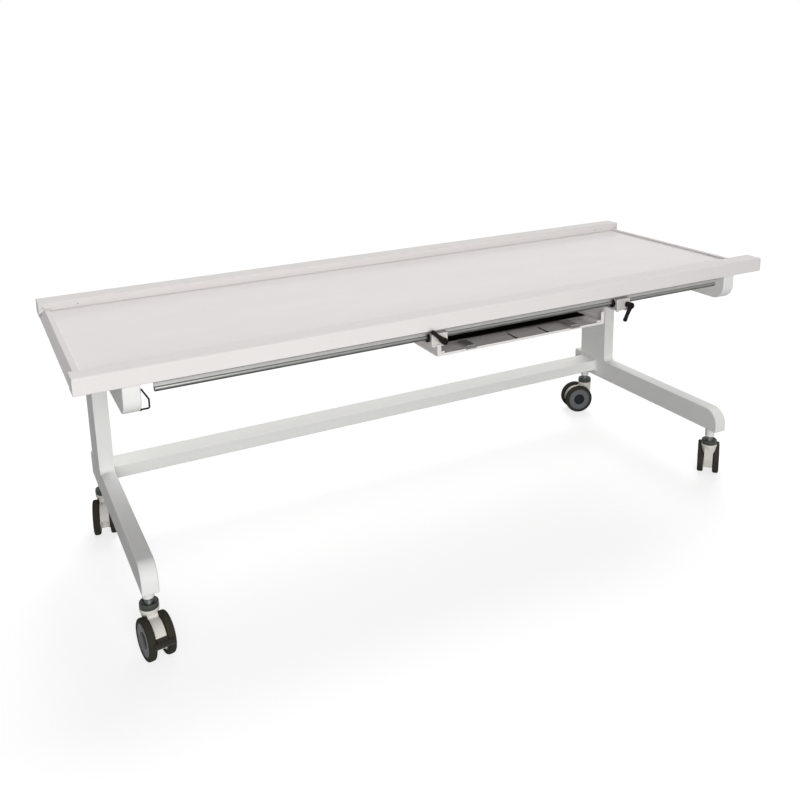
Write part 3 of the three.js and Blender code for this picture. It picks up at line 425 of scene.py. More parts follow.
def finishes(name):
    """The material of one finish, made the first time it is asked for"""
    label = f"{name}_finish"
    if label in bpy.data.materials:
        return bpy.data.materials[label]
    rgb = colours()
    along = (2.0, 900.0, 900.0)
    table = {
        # Laminate: its stretched streaks are painted sheen, broad lighter and darker bands along X in place of soft
        # reflections
        "laminate": dict(
            rgb=rgb.board, rough=0.2, drift=0.03, bump=0.02, stretch=(1.4, 3.5, 3.5), rough_drift=0.06,
            specular=0.5),
        "powder_white": dict(
            rgb=rgb.rail_paint, rough=0.5, drift=0.015, bump=0.06, fine_scale=700.0, specular=0.25, rub=0.12),
        "leg_white": dict(
            rgb=rgb.leg_paint, rough=0.65, drift=0.02, bump=0.08, fine_scale=620.0, specular=0.12, rub=0.15),
        # The last amount on the aluminium and on the steel paints shade on their downward faces
        "aluminium": dict(
            rgb=rgb.aluminium, rough=0.4, metal=0.85, drift=0.08, stretch=along, bump=0.05, underside_shade=0.6),
        "bright_steel": dict(
            rgb=rgb.bright_steel, rough=0.36, metal=1.0, drift=0.05, stretch=(300.0, 20.0, 20.0), bump=0.02,
            rough_drift=0.05, underside_shade=0.95),
        "dish_metal": dict(rgb=rgb.dish, rough=0.45, metal=0.9, drift=0.08, bump=0.06, fine_scale=1100.0),
        "block_grey": dict(
            rgb=rgb.block_paint, rough=0.42, metal=0.2, drift=0.05, bump=0.15, fine_scale=1100.0, specular=0.3, rub=0.2),
        "seal_dark": dict(rgb=rgb.seal, rough=0.6, drift=0.1, bump=0.12, fine_scale=1300.0, specular=0.08),
        "lever_black": dict(
            rgb=rgb.lever, rough=0.5, drift=0.14, bump=0.2, fine_scale=1500.0, dust=0.01, specular=0.1, rub=0.05),
        "sheet_grey": dict(rgb=rgb.sheet, rough=0.38, metal=0.8, drift=0.06, stretch=along, bump=0.04),
        "mat_black": dict(
            rgb=rgb.mat, rough=0.85, drift=0.25, bump=0.35, fine_scale=800.0, dust=0.004, specular=0.02),
        "collar_grey": dict(
            rgb=rgb.collar, rough=0.5, drift=0.08, bump=0.1, fine_scale=1200.0, dust=0.02, specular=0.18, rub=0.08),
        "fork_grey": dict(
            rgb=rgb.fork, rough=0.5, drift=0.04, bump=0.1, fine_scale=1200.0, specular=0.2),
        "tyre_grey": dict(
            rgb=rgb.tyre, rough=0.8, drift=0.2, bump=0.3, fine_scale=900.0, dust=0.012, specular=0.04),
        "hub_grey": dict(rgb=rgb.disc, rough=0.5, drift=0.06, bump=0.1, fine_scale=1200.0, specular=0.15),
        "wheel_cap": dict(rgb=rgb.cap, rough=0.45, drift=0.08, bump=0.1, fine_scale=1200.0, specular=0.15),
        "pedal_dark": dict(
            rgb=rgb.pedal, rough=0.55, drift=0.12, bump=0.25, fine_scale=1000.0, dust=0.015, specular=0.1, rub=0.1),
        "zinc_screw": dict(rgb=rgb.screw, rough=0.3, metal=0.9, drift=0.1, bump=0.1, fine_scale=1600.0),
    }
    return finish_material(label, **table[name])


# Mesh building


def rounded(corners, steps=8):
    """Outline from corners (u, v) or (u, v, radius)"""
    path = []
    count = len(corners)
    for i, corner in enumerate(corners):
        here = Vector(corner[:2])
        radius = corner[2] if len(corner) > 2 else 0
        if not radius:
            path.append(here)
            continue
        back = (Vector(corners[i - 1][:2]) - here).normalized()
        ahead = (Vector(corners[(i + 1) % count][:2]) - here).normalized()
        half = back.angle(ahead) / 2
        centre = here + (back + ahead).normalized() * radius / math.sin(half)
        start = here + back * radius / math.tan(half) - centre
        stop = here + ahead * radius / math.tan(half) - centre
        sweep = math.atan2(start.x * stop.y - start.y * stop.x, start.dot(stop))
        first = math.atan2(start.y, start.x)
        for k in range(steps + 1):
            angle = first + sweep * k / steps
            path.append(centre + Vector((math.cos(angle), math.sin(angle))) * radius)
    return path


def loft(bm, rings, caps=True, wrap=False):
    """Skin between rings of points that have the same count"""
    rows = [[bm.verts.new(point) for point in ring] for ring in rings]
    pairs = list(zip(rows, rows[1:])) + ([(rows[-1], rows[0])] if wrap else [])
    for low, high in pairs:
        for k in range(len(low)):
            n = (k + 1) % len(low)
            bm.faces.new((low[k], low[n], high[n], high[k]))
    if caps and not wrap:
        bm.faces.new(rows[0][::-1])
        bm.faces.new(rows[-1])


def bar(bm, outline, place, start, stop):
    """Straight bar: place(u, v, w) puts an outline point at w along the bar"""
    loft(bm, [[place(u, v, w) for u, v in outline] for w in (start, stop)])


def along_x(u, v, w):
    return Vector((w, u, v))


def along_y(u, v, w):
    return Vector((u, w, v))


def along_z(u, v, w):
    return Vector((u, v, w))


def box(bm, low, high):
    outline = ((low[0], low[1]), (high[0], low[1]), (high[0], high[1]), (low[0], high[1]))
    bar(bm, outline, along_z, low[2], high[2])


def lathe(bm, profile, segments, matrix):
    """Turned body: (radius, height) profile round the matrix's Z axis, closed at the axis or onto itself"""
    rings = []
    for radius, height in profile:
        if radius < 1e-7:
            rings.append([bm.verts.new(matrix @ Vector((0, 0, height)))])
            continue
        ring = []
        for k in range(segments):
            angle = 2 * math.pi * k / segments
            ring.append(bm.verts.new(matrix @ Vector((radius * math.cos(angle), radius * math.sin(angle), height))))
        rings.append(ring)
    closed = profile[0] == profile[-1]
    if closed:
        for vert in rings.pop():
            bm.verts.remove(vert)
        rings.append(rings[0])
    for low, high in zip(rings, rings[1:]):
        for k in range(segments):
            n = (k + 1) % segments
            corners = [low[k % len(low)], low[n % len(low)], high[n % len(high)], high[k % len(high)]]
            unique = list(dict.fromkeys(corners))
            if len(unique) > 2:
                bm.faces.new(unique)


def soften(bm, width, segments=3, wanted=None):
    """Round the hard edges, all of them or those that wanted(edge) picks"""
    bmesh.ops.recalc_face_normals(bm, faces=bm.faces)
    hard = [
        edge for edge in bm.edges
        if edge.is_manifold and edge.calc_face_angle(0) > math.radians(28) and (wanted is None or wanted(edge))
    ]
    bmesh.ops.bevel(
        bm, geom=hard, offset=width, offset_type="OFFSET", segments=segments, profile=0.5,
        affect="EDGES", clamp_overlap=True)


def runs_along(axis):
    """Edge test: the edge is parallel to one axis"""
    def test(edge):
        way = edge.verts[1].co - edge.verts[0].co
        return abs(way[axis]) > 0.99 * way.length
    return test


def node_copy(node):
    """Merged copy of a frame node with flat regions joined into single faces"""
    bm = bmesh.new()
    bm.from_mesh(frame["nodes"][node].data)
    bmesh.ops.remove_doubles(bm, verts=bm.verts, dist=1e-6)
    bmesh.ops.dissolve_limit(bm, angle_limit=math.radians(0.4), verts=bm.verts, edges=bm.edges)
    return bm


def settle(piece):
    """Bake the modifiers of a piece into its mesh"""
    graph = bpy.context.evaluated_depsgraph_get()
    baked = bpy.data.meshes.new_from_object(piece.evaluated_get(graph), depsgraph=graph)
    old = piece.data
    piece.modifiers.clear()
    piece.data = baked
    baked.name = piece.name
    bpy.data.meshes.remove(old)


def new_piece(name, mesh):
    piece = bpy.data.objects.new(name, mesh)
    bpy.context.scene.collection.objects.link(piece)
    return piece


def place_piece(piece, body, finish, nodes=()):
    """Give a finished piece its material, its body and the nodes that it stands for"""
    piece.data.materials.clear()
    piece.data.materials.append(finishes(finish))
    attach(piece, body)
    if nodes:
        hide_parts(*nodes)
    return piece


def piece_from(bm, name, body, slot, nodes=(), finish=None, smooth=38, weigh=True):
    """Turn a bmesh into a shaded piece on a body"""
    bmesh.ops.recalc_face_normals(bm, faces=bm.faces)
    mesh = bpy.data.meshes.new(name)
    bm.to_mesh(mesh)
    bm.free()
    mesh.shade_smooth()
    mesh.set_sharp_from_angle(angle=math.radians(smooth))
    piece = new_piece(name, mesh)
    if weigh:
        weighted = piece.modifiers.new("weighted", "WEIGHTED_NORMAL")
        weighted.keep_sharp = True
        settle(piece)
    return place_piece(piece, body, finish or slot, nodes)


# Repeats by Geometry Nodes


def nodes_tree(name):
    tree = bpy.data.node_groups.new(name, "GeometryNodeTree")
    socket(tree, "Geometry", "NodeSocketGeometry", "INPUT")
    socket(tree, "Geometry", "NodeSocketGeometry", "OUTPUT")
    return tree, tree.nodes.new("NodeGroupInput"), tree.nodes.new("NodeGroupOutput")


def screw_tree():
    """A socket screw head stood on every point of the input mesh, its shank side on the point"""
    tree = bpy.data.node_groups.get("socket_screws")
    if tree:
        return tree
    tree, start, end = nodes_tree("socket_screws")
    socket(tree, "Head Radius", "NodeSocketFloat", "INPUT", 2.7 * MM)
    socket(tree, "Head Height", "NodeSocketFloat", "INPUT", 2.0 * MM)
    socket(tree, "Socket Radius", "NodeSocketFloat", "INPUT", 1.3 * MM)
    socket(tree, "Rotation", "NodeSocketRotation", "INPUT")
    socket(tree, "Material", "NodeSocketMaterial", "INPUT")
    new = tree.nodes.new
    link = tree.links.new
    head = new("GeometryNodeMeshCylinder")
    head.inputs["Vertices"].default_value = 24
    crown = new("GeometryNodeMeshCone")
    crown.inputs["Vertices"].default_value = 24
    hexagon = new("GeometryNodeMeshCylinder")
    hexagon.inputs["Vertices"].default_value = 6
    shrink = new("ShaderNodeMath")
    shrink.operation = "MULTIPLY"
    shrink.inputs[1].default_value = 0.86
    rim = new("ShaderNodeMath")
    rim.operation = "MULTIPLY"
    rim.inputs[1].default_value = 0.25
    join = new("GeometryNodeJoinGeometry")
    lift_head = new("GeometryNodeTransform")
    lift_crown = new("GeometryNodeTransform")
    lift_socket = new("GeometryNodeTransform")
    half = new("ShaderNodeMath")
    half.operation = "MULTIPLY"
    half.inputs[1].default_value = 0.5
    up_half = new("ShaderNodeCombineXYZ")
    up_full = new("ShaderNodeCombineXYZ")
    up_socket = new("ShaderNodeCombineXYZ")
    carve = new("GeometryNodeMeshBoolean")
    carve.operation = "DIFFERENCE"
    spread = new("GeometryNodeInstanceOnPoints")
    real = new("GeometryNodeRealizeInstances")
    paint = new("GeometryNodeSetMaterial")
    link(start.outputs["Head Radius"], head.inputs["Radius"])
    link(start.outputs["Head Height"], head.inputs["Depth"])
    link(start.outputs["Head Height"], half.inputs[0])
    link(half.outputs["Value"], up_half.inputs["Z"])
    link(up_half.outputs["Vector"], lift_head.inputs["Translation"])
    link(head.outputs["Mesh"], lift_head.inputs["Geometry"])
    link(start.outputs["Head Radius"], crown.inputs["Radius Bottom"])
    link(start.outputs["Head Radius"], shrink.inputs[0])
    link(shrink.outputs["Value"], crown.inputs["Radius Top"])
    link(start.outputs["Head Height"], rim.inputs[0])
    link(rim.outputs["Value"], crown.inputs["Depth"])
    link(start.outputs["Head Height"], up_full.inputs["Z"])
    link(up_full.outputs["Vector"], lift_crown.inputs["Translation"])
    link(crown.outputs["Mesh"], lift_crown.inputs["Geometry"])
    link(lift_head.outputs["Geometry"], join.inputs["Geometry"])
    link(lift_crown.outputs["Geometry"], join.inputs["Geometry"])
    link(start.outputs["Socket Radius"], hexagon.inputs["Radius"])
    link(start.outputs["Head Height"], hexagon.inputs["Depth"])
    link(start.outputs["Head Height"], up_socket.inputs["Z"])
    link(up_socket.outputs["Vector"], lift_socket.inputs["Translation"])
    link(hexagon.outputs["Mesh"], lift_socket.inputs["Geometry"])
    link(join.outputs["Geometry"], carve.inputs["Mesh 1"])
    link(lift_socket.outputs["Geometry"], carve.inputs["Mesh 2"])
    link(start.outputs["Geometry"], spread.inputs["Points"])
    link(carve.outputs["Mesh"], spread.inputs["Instance"])
    link(start.outputs["Rotation"], spread.inputs["Rotation"])
    link(spread.outputs["Instances"], real.inputs["Geometry"])
    link(real.outputs["Geometry"], paint.inputs["Geometry"])
    link(start.outputs["Material"], paint.inputs["Material"])
    link(paint.outputs["Geometry"], end.inputs["Geometry"])
    return tree


def sweep_tree():
    """Round bar along the edges of the input mesh"""
    tree = bpy.data.node_groups.get("round_bar")
    if tree:
        return tree
    tree, start, end = nodes_tree("round_bar")
    socket(tree, "Radius", "NodeSocketFloat", "INPUT", 2 * MM)
    socket(tree, "Bend", "NodeSocketFloat", "INPUT", 6 * MM)
    socket(tree, "Material", "NodeSocketMaterial", "INPUT")
    new = tree.nodes.new
    link = tree.links.new
    curve = new("GeometryNodeMeshToCurve")
    fillet = new("GeometryNodeFilletCurve")
    fillet.mode = "POLY"
    fillet.inputs["Count"].default_value = 10
    fillet.inputs["Limit Radius"].default_value = True
    circle = new("GeometryNodeCurvePrimitiveCircle")
    circle.inputs["Resolution"].default_value = 20
    skin = new("GeometryNodeCurveToMesh")
    skin.inputs["Fill Caps"].default_value = True
    real = new("GeometryNodeRealizeInstances")
    paint = new("GeometryNodeSetMaterial")
    link(start.outputs["Geometry"], curve.inputs["Mesh"])
    link(curve.outputs["Curve"], fillet.inputs["Curve"])
    link(start.outputs["Bend"], fillet.inputs["Radius"])
    link(fillet.outputs["Curve"], skin.inputs["Curve"])
    link(start.outputs["Radius"], circle.inputs["Radius"])
    link(circle.outputs["Curve"], skin.inputs["Profile Curve"])
    link(skin.outputs["Mesh"], real.inputs["Geometry"])
    link(real.outputs["Geometry"], paint.inputs["Geometry"])
    link(start.outputs["Material"], paint.inputs["Material"])
    link(paint.outputs["Geometry"], end.inputs["Geometry"])
    return tree


def grown(name, points, edges, tree, inputs, body, finish, nodes=(), smooth=38):
    """Piece that a tree grows on points and edges"""
    mesh = bpy.data.meshes.new(name)
    mesh.from_pydata([tuple(point) for point in points], edges, [])
    piece = new_piece(name, mesh)
    modifier = piece.modifiers.new("grow", "NODES")
    modifier.node_group = tree
    for item in tree.interface.items_tree:
        if item.item_type == "SOCKET" and item.in_out == "INPUT" and item.name in inputs:
            modifier[item.identifier] = inputs[item.name]
    settle(piece)
    piece.data.shade_smooth()
    piece.data.set_sharp_from_angle(angle=math.radians(smooth))
    return place_piece(piece, body, finish, nodes)


def screws(name, points, facing, radius, height, body, finish="zinc_screw"):
    """Socket screws on points, heads facing one way"""
    turn = Vector((0, 0, 1)).rotation_difference(Vector(facing)).to_euler()
    inputs = {
        "Head Radius": radius, "Head Height": height, "Socket Radius": radius * 0.5,
        "Rotation": turn, "Material": finishes(finish),
    }
    return grown(name, points, [], screw_tree(), inputs, body, finish)


def round_bars(name, runs, radius, bend, body, slot, nodes=()):
    """Round bars in one piece, each along its own run of points"""
    points, edges = [], []
    for run in runs:
        first = len(points)
        points.extend(run)
        edges.extend((first + k, first + k + 1) for k in range(len(run) - 1))
    inputs = {"Radius": radius, "Bend": bend, "Material": finishes(slot)}
    return grown(name, points, edges, sweep_tree(), inputs, body, slot, nodes, smooth=60)


class Build:
    """Common ground of the building operators"""
    bl_options = {"REGISTER", "UNDO"}


class TABLE_OT_top(Build, bpy.types.Operator):
    """Board, side rails, end trims and their screws"""
    bl_idname = "table.top"
    bl_label = "Top"

    def execute(self, context):
        size = sizes()
        low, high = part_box("top_panel")
        bm = node_copy("top_panel")
        soften(bm, size.board_edge, 2)
        piece_from(bm, "board", "table", "laminate", ("top_panel",))
        lid = low.z + size.tongue + size.board_gap
        for name, side in SIDES:
            self.rail(name, side, low.z, lid)
        for name, end in ENDS:
            self.trim(name, end, low.z, lid)
        self.corner_screws(high.z)
        return {"FINISHED"}

    def rail(self, name, side, groove_low, lid):
        size = sizes()
        low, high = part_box(f"{name}_rail")
        inner = high.y if side < 0 else low.y
        outer = low.y if side < 0 else high.y
        deep = inner + side * size.groove_depth
        outline = rounded([
            (inner, low.z), (outer, low.z, size.rail_radius / 2), (outer, high.z, size.rail_radius),
            (inner, high.z, size.rail_radius), (inner, lid), (deep, lid), (deep, groove_low), (inner, groove_low),
        ])
        bm = bmesh.new()
        bar(bm, outline, along_x, low.x, high.x)
        ends = [edge for edge in bm.edges if not runs_along(0)(edge)]
        soften(bm, size.rail_end, 2, lambda edge: edge in ends)
        piece_from(bm, f"{name}_side_rail", "table", "powder_white", (f"{name}_rail",))

    def trim(self, name, end, groove_low, lid):
        size = sizes()
        low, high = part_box(f"{name}_end_trim")
        inner = low.x if end > 0 else high.x
        outer = high.x if end > 0 else low.x
        deep = inner + end * size.trim_groove
        outline = rounded([
            (inner, low.z), (outer, low.z, 1 * MM), (inner + end * size.trim_top, high.z, 2 * MM),
            (inner, high.z, 1 * MM), (inner, lid), (deep, lid), (deep, groove_low), (inner, groove_low),
        ], 4)
        bm = bmesh.new()
        bar(bm, outline, along_y, low.y, high.y)
        piece_from(bm, f"{name}_trim", "table", "powder_white", (f"{name}_end_trim",))

    def corner_screws(self, board_top):
        """Two small screws on the inner face of each rail, close to its ends"""
        low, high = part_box("rear_rail")
        places = (high.x - 12 * MM, high.x - 103 * MM)
        for name, side in SIDES:
            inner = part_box("rear_rail")[0].y if side > 0 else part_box("front_rail")[1].y
            points = [(sign * place, inner, board_top + 9 * MM) for sign in (-1, 1) for place in places]
            screws(f"{name}_rail_screws", points, (0, -side, 0), 2.2 * MM, 0.9 * MM, "table")


class TABLE_OT_end_frames(Build, bpy.types.Operator):
    """Arms, columns and feet with their painted welds"""
    bl_idname = "table.end_frames"
    bl_label = "End frames"

    def execute(self, context):
        for name, _ in ENDS:
            self.arm(name)
            self.column(name)
            self.foot(name)
            self.welds(name)
        return {"FINISHED"}

    def arm(self, name):
        size = sizes()
        low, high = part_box(f"{name}_arm")
        outline = rounded([
            (low.y, low.z, size.arm_nose), (high.y, low.z, size.arm_tail), (high.y, high.z), (low.y, high.z),
        ], 14)
        bm = bmesh.new()
        bar(bm, outline, along_x, low.x, high.x)
        soften(bm, size.tube_radius, 4, lambda edge: not runs_along(0)(edge))
        piece_from(bm, f"{name}_top_arm", "table", "leg_white", (f"{name}_arm",))

    def column(self, name):
        size = sizes()
        low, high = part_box(f"{name}_column")
        front = low.y + size.column_flare
        flare = []
        for k in range(11):
            angle = math.pi / 2 * k / 10
            flare.append((
                low.y + size.column_flare * math.sin(angle),
                low.z + size.column_flare * (1 - math.cos(angle))))
        outline = [Vector(point) for point in flare + [(front, high.z), (high.y, high.z), (high.y, low.z)]]
        bm = bmesh.new()
        bar(bm, outline, along_x, low.x, high.x)

        def upright(edge):
            middle = (edge.verts[0].co + edge.verts[1].co) / 2
            way = (edge.verts[1].co - edge.verts[0].co).normalized()
            return abs(way.x) < 0.1 and low.z + 1 * MM < middle.z < high.z - 1 * MM
        soften(bm, size.tube_radius, 4, upright)
        piece_from(bm, f"{name}_post", "table", "leg_white", (f"{name}_column",))

    def foot(self, name):
        size = sizes()
        low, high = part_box(f"{name}_foot")
        swivels = [Vector(JOINTS[f"{row}{name[0]}_swivel"]["pos_m"]) for row in "fr"]
        bottom = high.z - 69 * MM
        outline = rounded([
            (low.y, bottom, size.foot_edge), (high.y, bottom, size.foot_edge),
            (high.y, high.z, size.foot_edge), (low.y, high.z, size.foot_toe),
        ], 14)
        bm = bmesh.new()
        bar(bm, outline, along_x, low.x, high.x)
        soften(bm, size.tube_radius, 4, lambda edge: not runs_along(0)(edge))
        for spot in swivels:
            stub = [
                (0, low.z), (size.stub_radius - 1 * MM, low.z), (size.stub_radius, low.z + 1 * MM),
                (size.stub_radius, bottom - 3 * MM), (size.stub_radius + 2 * MM, bottom - 1 * MM),
                (size.stub_radius + 3 * MM, bottom + 1 * MM), (0, bottom + 1 * MM),
            ]
            lathe(bm, stub, 40, Matrix.Translation((spot.x, spot.y, 0)))
        piece_from(bm, f"{name}_base", "table", "leg_white", (f"{name}_foot",))

    def welds(self, name):
        """Painted beads where the column stands on the foot and carries the arm"""
        size = sizes()
        low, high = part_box(f"{name}_column")
        inset = size.weld * 0.72
        rear = high.y - 3 * MM
        lower = (low.y + 2 * MM, low.z - inset * 0.6)
        upper = (low.y + size.column_flare + 3 * MM, high.z + inset * 0.6)
        runs = [
            [(x, front, z), (x, rear, z)]
            for front, z in (lower, upper) for x in (low.x + inset, high.x - inset)]
        round_bars(f"{name}_welds", runs, size.weld, 0.0, "table", "leg_white")


class TABLE_OT_cross_tube(Build, bpy.types.Operator):
    """Cross tube between the feet and its end plates"""
    bl_idname = "table.cross_tube"
    bl_label = "Cross tube"

    def execute(self, context):
        size = sizes()
        low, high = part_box("stretcher")
        bm = bmesh.new()
        box(bm, low, high)
        soften(bm, size.cross_radius, 4, runs_along(0))
        piece_from(bm, "cross_tube", "table", "leg_white", ("stretcher",))
        for name, end in ENDS:
            plate_low, plate_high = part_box(f"{name}_stretcher_flange")
            outline = rounded([
                (plate_low.y, plate_low.z, 3 * MM), (plate_high.y, plate_low.z, 3 * MM),
                (plate_high.y, plate_high.z, 3 * MM), (plate_low.y, plate_high.z, 3 * MM)], 6)
            bm = bmesh.new()
            bar(bm, outline, along_x, plate_low.x, plate_high.x)
            soften(bm, 0.8 * MM, 2, lambda edge: not runs_along(0)(edge))
            piece_from(bm, f"{name}_end_plate", "table", "leg_white", (f"{name}_stretcher_flange",))
        return {"FINISHED"}


class TABLE_OT_guides(Build, bpy.types.Operator):
    """Guide supports with their screws, and the round shafts"""
    bl_idname = "table.guides"
    bl_label = "Guides"

    def execute(self, context):
        for name, _ in SIDES:
            self.support(name)
            self.shaft(name)
        return {"FINISHED"}

    def support(self, name):
        size = sizes()
        low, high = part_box(f"{name}_guide_support")
        middle = (low.y + high.y) / 2
        shelf = high.z - size.guide_base
        web = size.guide_web / 2
        line = size.guide_line
        groove = (shelf + high.z) / 2
        outline = rounded([
            (middle - web, low.z), (middle + web, low.z), (middle + web, shelf, 1.5 * MM), (high.y, shelf, 0.8 * MM),
            (high.y, groove - line), (high.y - line, groove), (high.y, groove + line), (high.y, high.z),
            (low.y, high.z), (low.y, groove + line), (low.y + line, groove), (low.y, groove - line),
            (low.y, shelf, 0.8 * MM), (middle - web, shelf, 1.5 * MM),
        ], 4)
        bm = bmesh.new()
        bar(bm, outline, along_x, low.x, high.x)
        piece_from(bm, f"{name}_guide_bar", "table", "aluminium", (f"{name}_guide_support",))
        count = int((high.x - low.x) / size.guide_screw_pitch)
        pitch = (high.x - low.x) / count
        ledge = (web + (high.y - middle)) / 2
        points = [
            (low.x + pitch * (k + 0.5), middle + (ledge if k % 2 else -ledge), shelf) for k in range(count)]
        screws(f"{name}_guide_screws", points, (0, 0, -1), 2.2 * MM, 1.4 * MM, "table")

    def shaft(self, name):
        low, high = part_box(f"{name}_guide_shaft")
        radius = (high.z - low.z) / 2
        profile = [
            (0, low.x), (radius - 1.2 * MM, low.x), (radius, low.x + 1.2 * MM),
            (radius, high.x - 1.2 * MM), (radius - 1.2 * MM, high.x), (0, high.x)]
        turn = Matrix.Translation((0, (low.y + high.y) / 2, (low.z + high.z) / 2)) @ Matrix.Rotation(
            math.pi / 2, 4, "Y")
        bm = bmesh.new()
        lathe(bm, profile, 48, turn)
        piece_from(bm, f"{name}_shaft", "table", "bright_steel", (f"{name}_guide_shaft",))


class TABLE_OT_carriage(Build, bpy.types.Operator):
    """Cassette tray, bearing blocks, bearings and their screws"""
    bl_idname = "table.carriage"
    bl_label = "Carriage"

    def execute(self, context):
        bm = node_copy("cassette_tray")
        soften(bm, sizes().sheet_edge, 2)
        piece_from(bm, "tray", "carriage", "powder_white", ("cassette_tray",))
        for side, way in SIDES:
            for end, _ in ENDS:
                self.block(f"{side}_{end}", side, way)
        for end, _ in ENDS:
            self.bearing(end)
        self.strips()
        return {"FINISHED"}

    def strips(self):
        """Dark strips in the slots of the tray's floor: painted shade in place of the darkness seen through the
        slots
        """
        size = sizes()
        low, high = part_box("cassette_tray")
        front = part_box("drawer_plate")[0].y - 1 * MM
        middle = (low.x + high.x) / 2
        bm = bmesh.new()
        for place in (size.left_slot_shade, size.right_slot_shade):
            x = middle + place
            box(bm, (x - 2.6 * MM, front, low.z + 0.2 * MM), (x + 2.6 * MM, front + 60 * MM, low.z + 2.6 * MM))
        soften(bm, 0.4 * MM, 2)
        piece_from(bm, "tray_slot_shade", "carriage", "seal_dark")

    def block(self, name, side, way):
        size = sizes()
        low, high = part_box(f"{name}_block")
        shaft_low, shaft_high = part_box(f"{side}_guide_shaft")
        middle = (shaft_low.y + shaft_high.y) / 2
        level = (shaft_low.z + shaft_high.z) / 2
        radius = (shaft_high.z - shaft_low.z) / 2
        bore = radius + (size.bearing_wall if way < 0 else 0.1 * MM)
        slot = size.guide_web / 2 + 2 * MM
        first = math.acos(slot / bore)
        hole = []
        for k in range(29):
            angle = first - (math.pi + 2 * first) * k / 28
            hole.append((middle + bore * math.cos(angle), level + bore * math.sin(angle)))
        outline = rounded([
            (low.y, low.z, 3 * MM), (high.y, low.z, 3 * MM), (high.y, high.z, 2 * MM),
            (middle + slot, high.z), *hole, (middle - slot, high.z), (low.y, high.z, 2 * MM),
        ], 5)
        bm = bmesh.new()
        bar(bm, outline, along_x, low.x, high.x)
        rim = [edge for edge in bm.edges if not runs_along(0)(edge)]

        def outside(edge):
            centre = (edge.verts[0].co + edge.verts[1].co) / 2
            near = abs(centre.y - middle) < bore + 0.5 * MM and centre.z > level - bore - 0.5 * MM
            return edge in rim and not near
        soften(bm, size.block_edge, 3, outside)
        piece_from(bm, f"{name}_bearing_block", "carriage", "block_grey", (f"{name}_block",))
        across = (high.x - low.x) * 0.3
        centre = (low.x + high.x) / 2
        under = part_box("cassette_tray")[1].z - 3 * MM
        points = [(centre + sx * across, middle + sy * 11 * MM, under) for sx in (-1, 1) for sy in (-1, 1)]
        screws(f"{name}_block_screws", points, (0, 0, -1), 4.2 * MM, 3.2 * MM, "carriage")

    def bearing(self, end):
        size = sizes()
        low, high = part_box(f"front_{end}_bearing")
        block_low, block_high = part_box(f"front_{end}_block")
        shaft_low, shaft_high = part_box("front_guide_shaft")
        middle = (shaft_low.y + shaft_high.y) / 2
        level = (shaft_low.z + shaft_high.z) / 2
        inner = (shaft_high.z - shaft_low.z) / 2 + 0.1 * MM
        wall = inner + size.bearing_wall - 0.3 * MM
        lip = wall + size.bearing_flange - 0.8 * MM
        slot = size.guide_web / 2 + 2 * MM
        section = [
            (low.x, inner), (low.x, lip - 1 * MM), (low.x + 1 * MM, lip), (block_low.x - 1 * MM, lip),
            (block_low.x - 0.2 * MM, lip - 0.8 * MM), (block_low.x, wall), (block_high.x, wall),
            (block_high.x + 0.2 * MM, lip - 0.8 * MM), (block_high.x + 1 * MM, lip), (high.x - 1 * MM, lip),
            (high.x, lip - 1 * MM), (high.x, inner),
        ]
        opening = math.asin(slot / wall) + math.radians(2)
        rings = []
        for k in range(33):
            angle = math.pi / 2 + opening + (2 * math.pi - 2 * opening) * k / 32
            rings.append([
                Vector((x, middle + r * math.cos(angle), level + r * math.sin(angle))) for x, r in section])
        bm = bmesh.new()
        loft(bm, rings)
        piece_from(bm, f"{end}_bearing", "carriage", "seal_dark", (f"front_{end}_bearing",))


class TABLE_OT_drawer(Build, bpy.types.Operator):
    """Drawer plate with its finger pulls and the dark mat"""
    bl_idname = "table.drawer"
    bl_label = "Drawer"

    def execute(self, context):
        bm = node_copy("drawer_plate")
        soften(bm, sizes().sheet_edge, 2)
        piece_from(bm, "sliding_plate", "drawer", "sheet_grey", ("drawer_plate",))
        low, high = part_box("drawer_mat")
        outline = rounded([
            (low.x, low.y, 4 * MM), (high.x, low.y, 4 * MM), (high.x, high.y, 4 * MM), (low.x, high.y, 4 * MM)], 6)
        bm = bmesh.new()
        bar(bm, outline, along_z, low.z, high.z)
        soften(bm, sizes().mat_edge, 2, lambda edge: edge.verts[0].co.z > (low.z + high.z) / 2)
        piece_from(bm, "cassette_mat", "drawer", "mat_black", ("drawer_mat",))
        return {"FINISHED"}


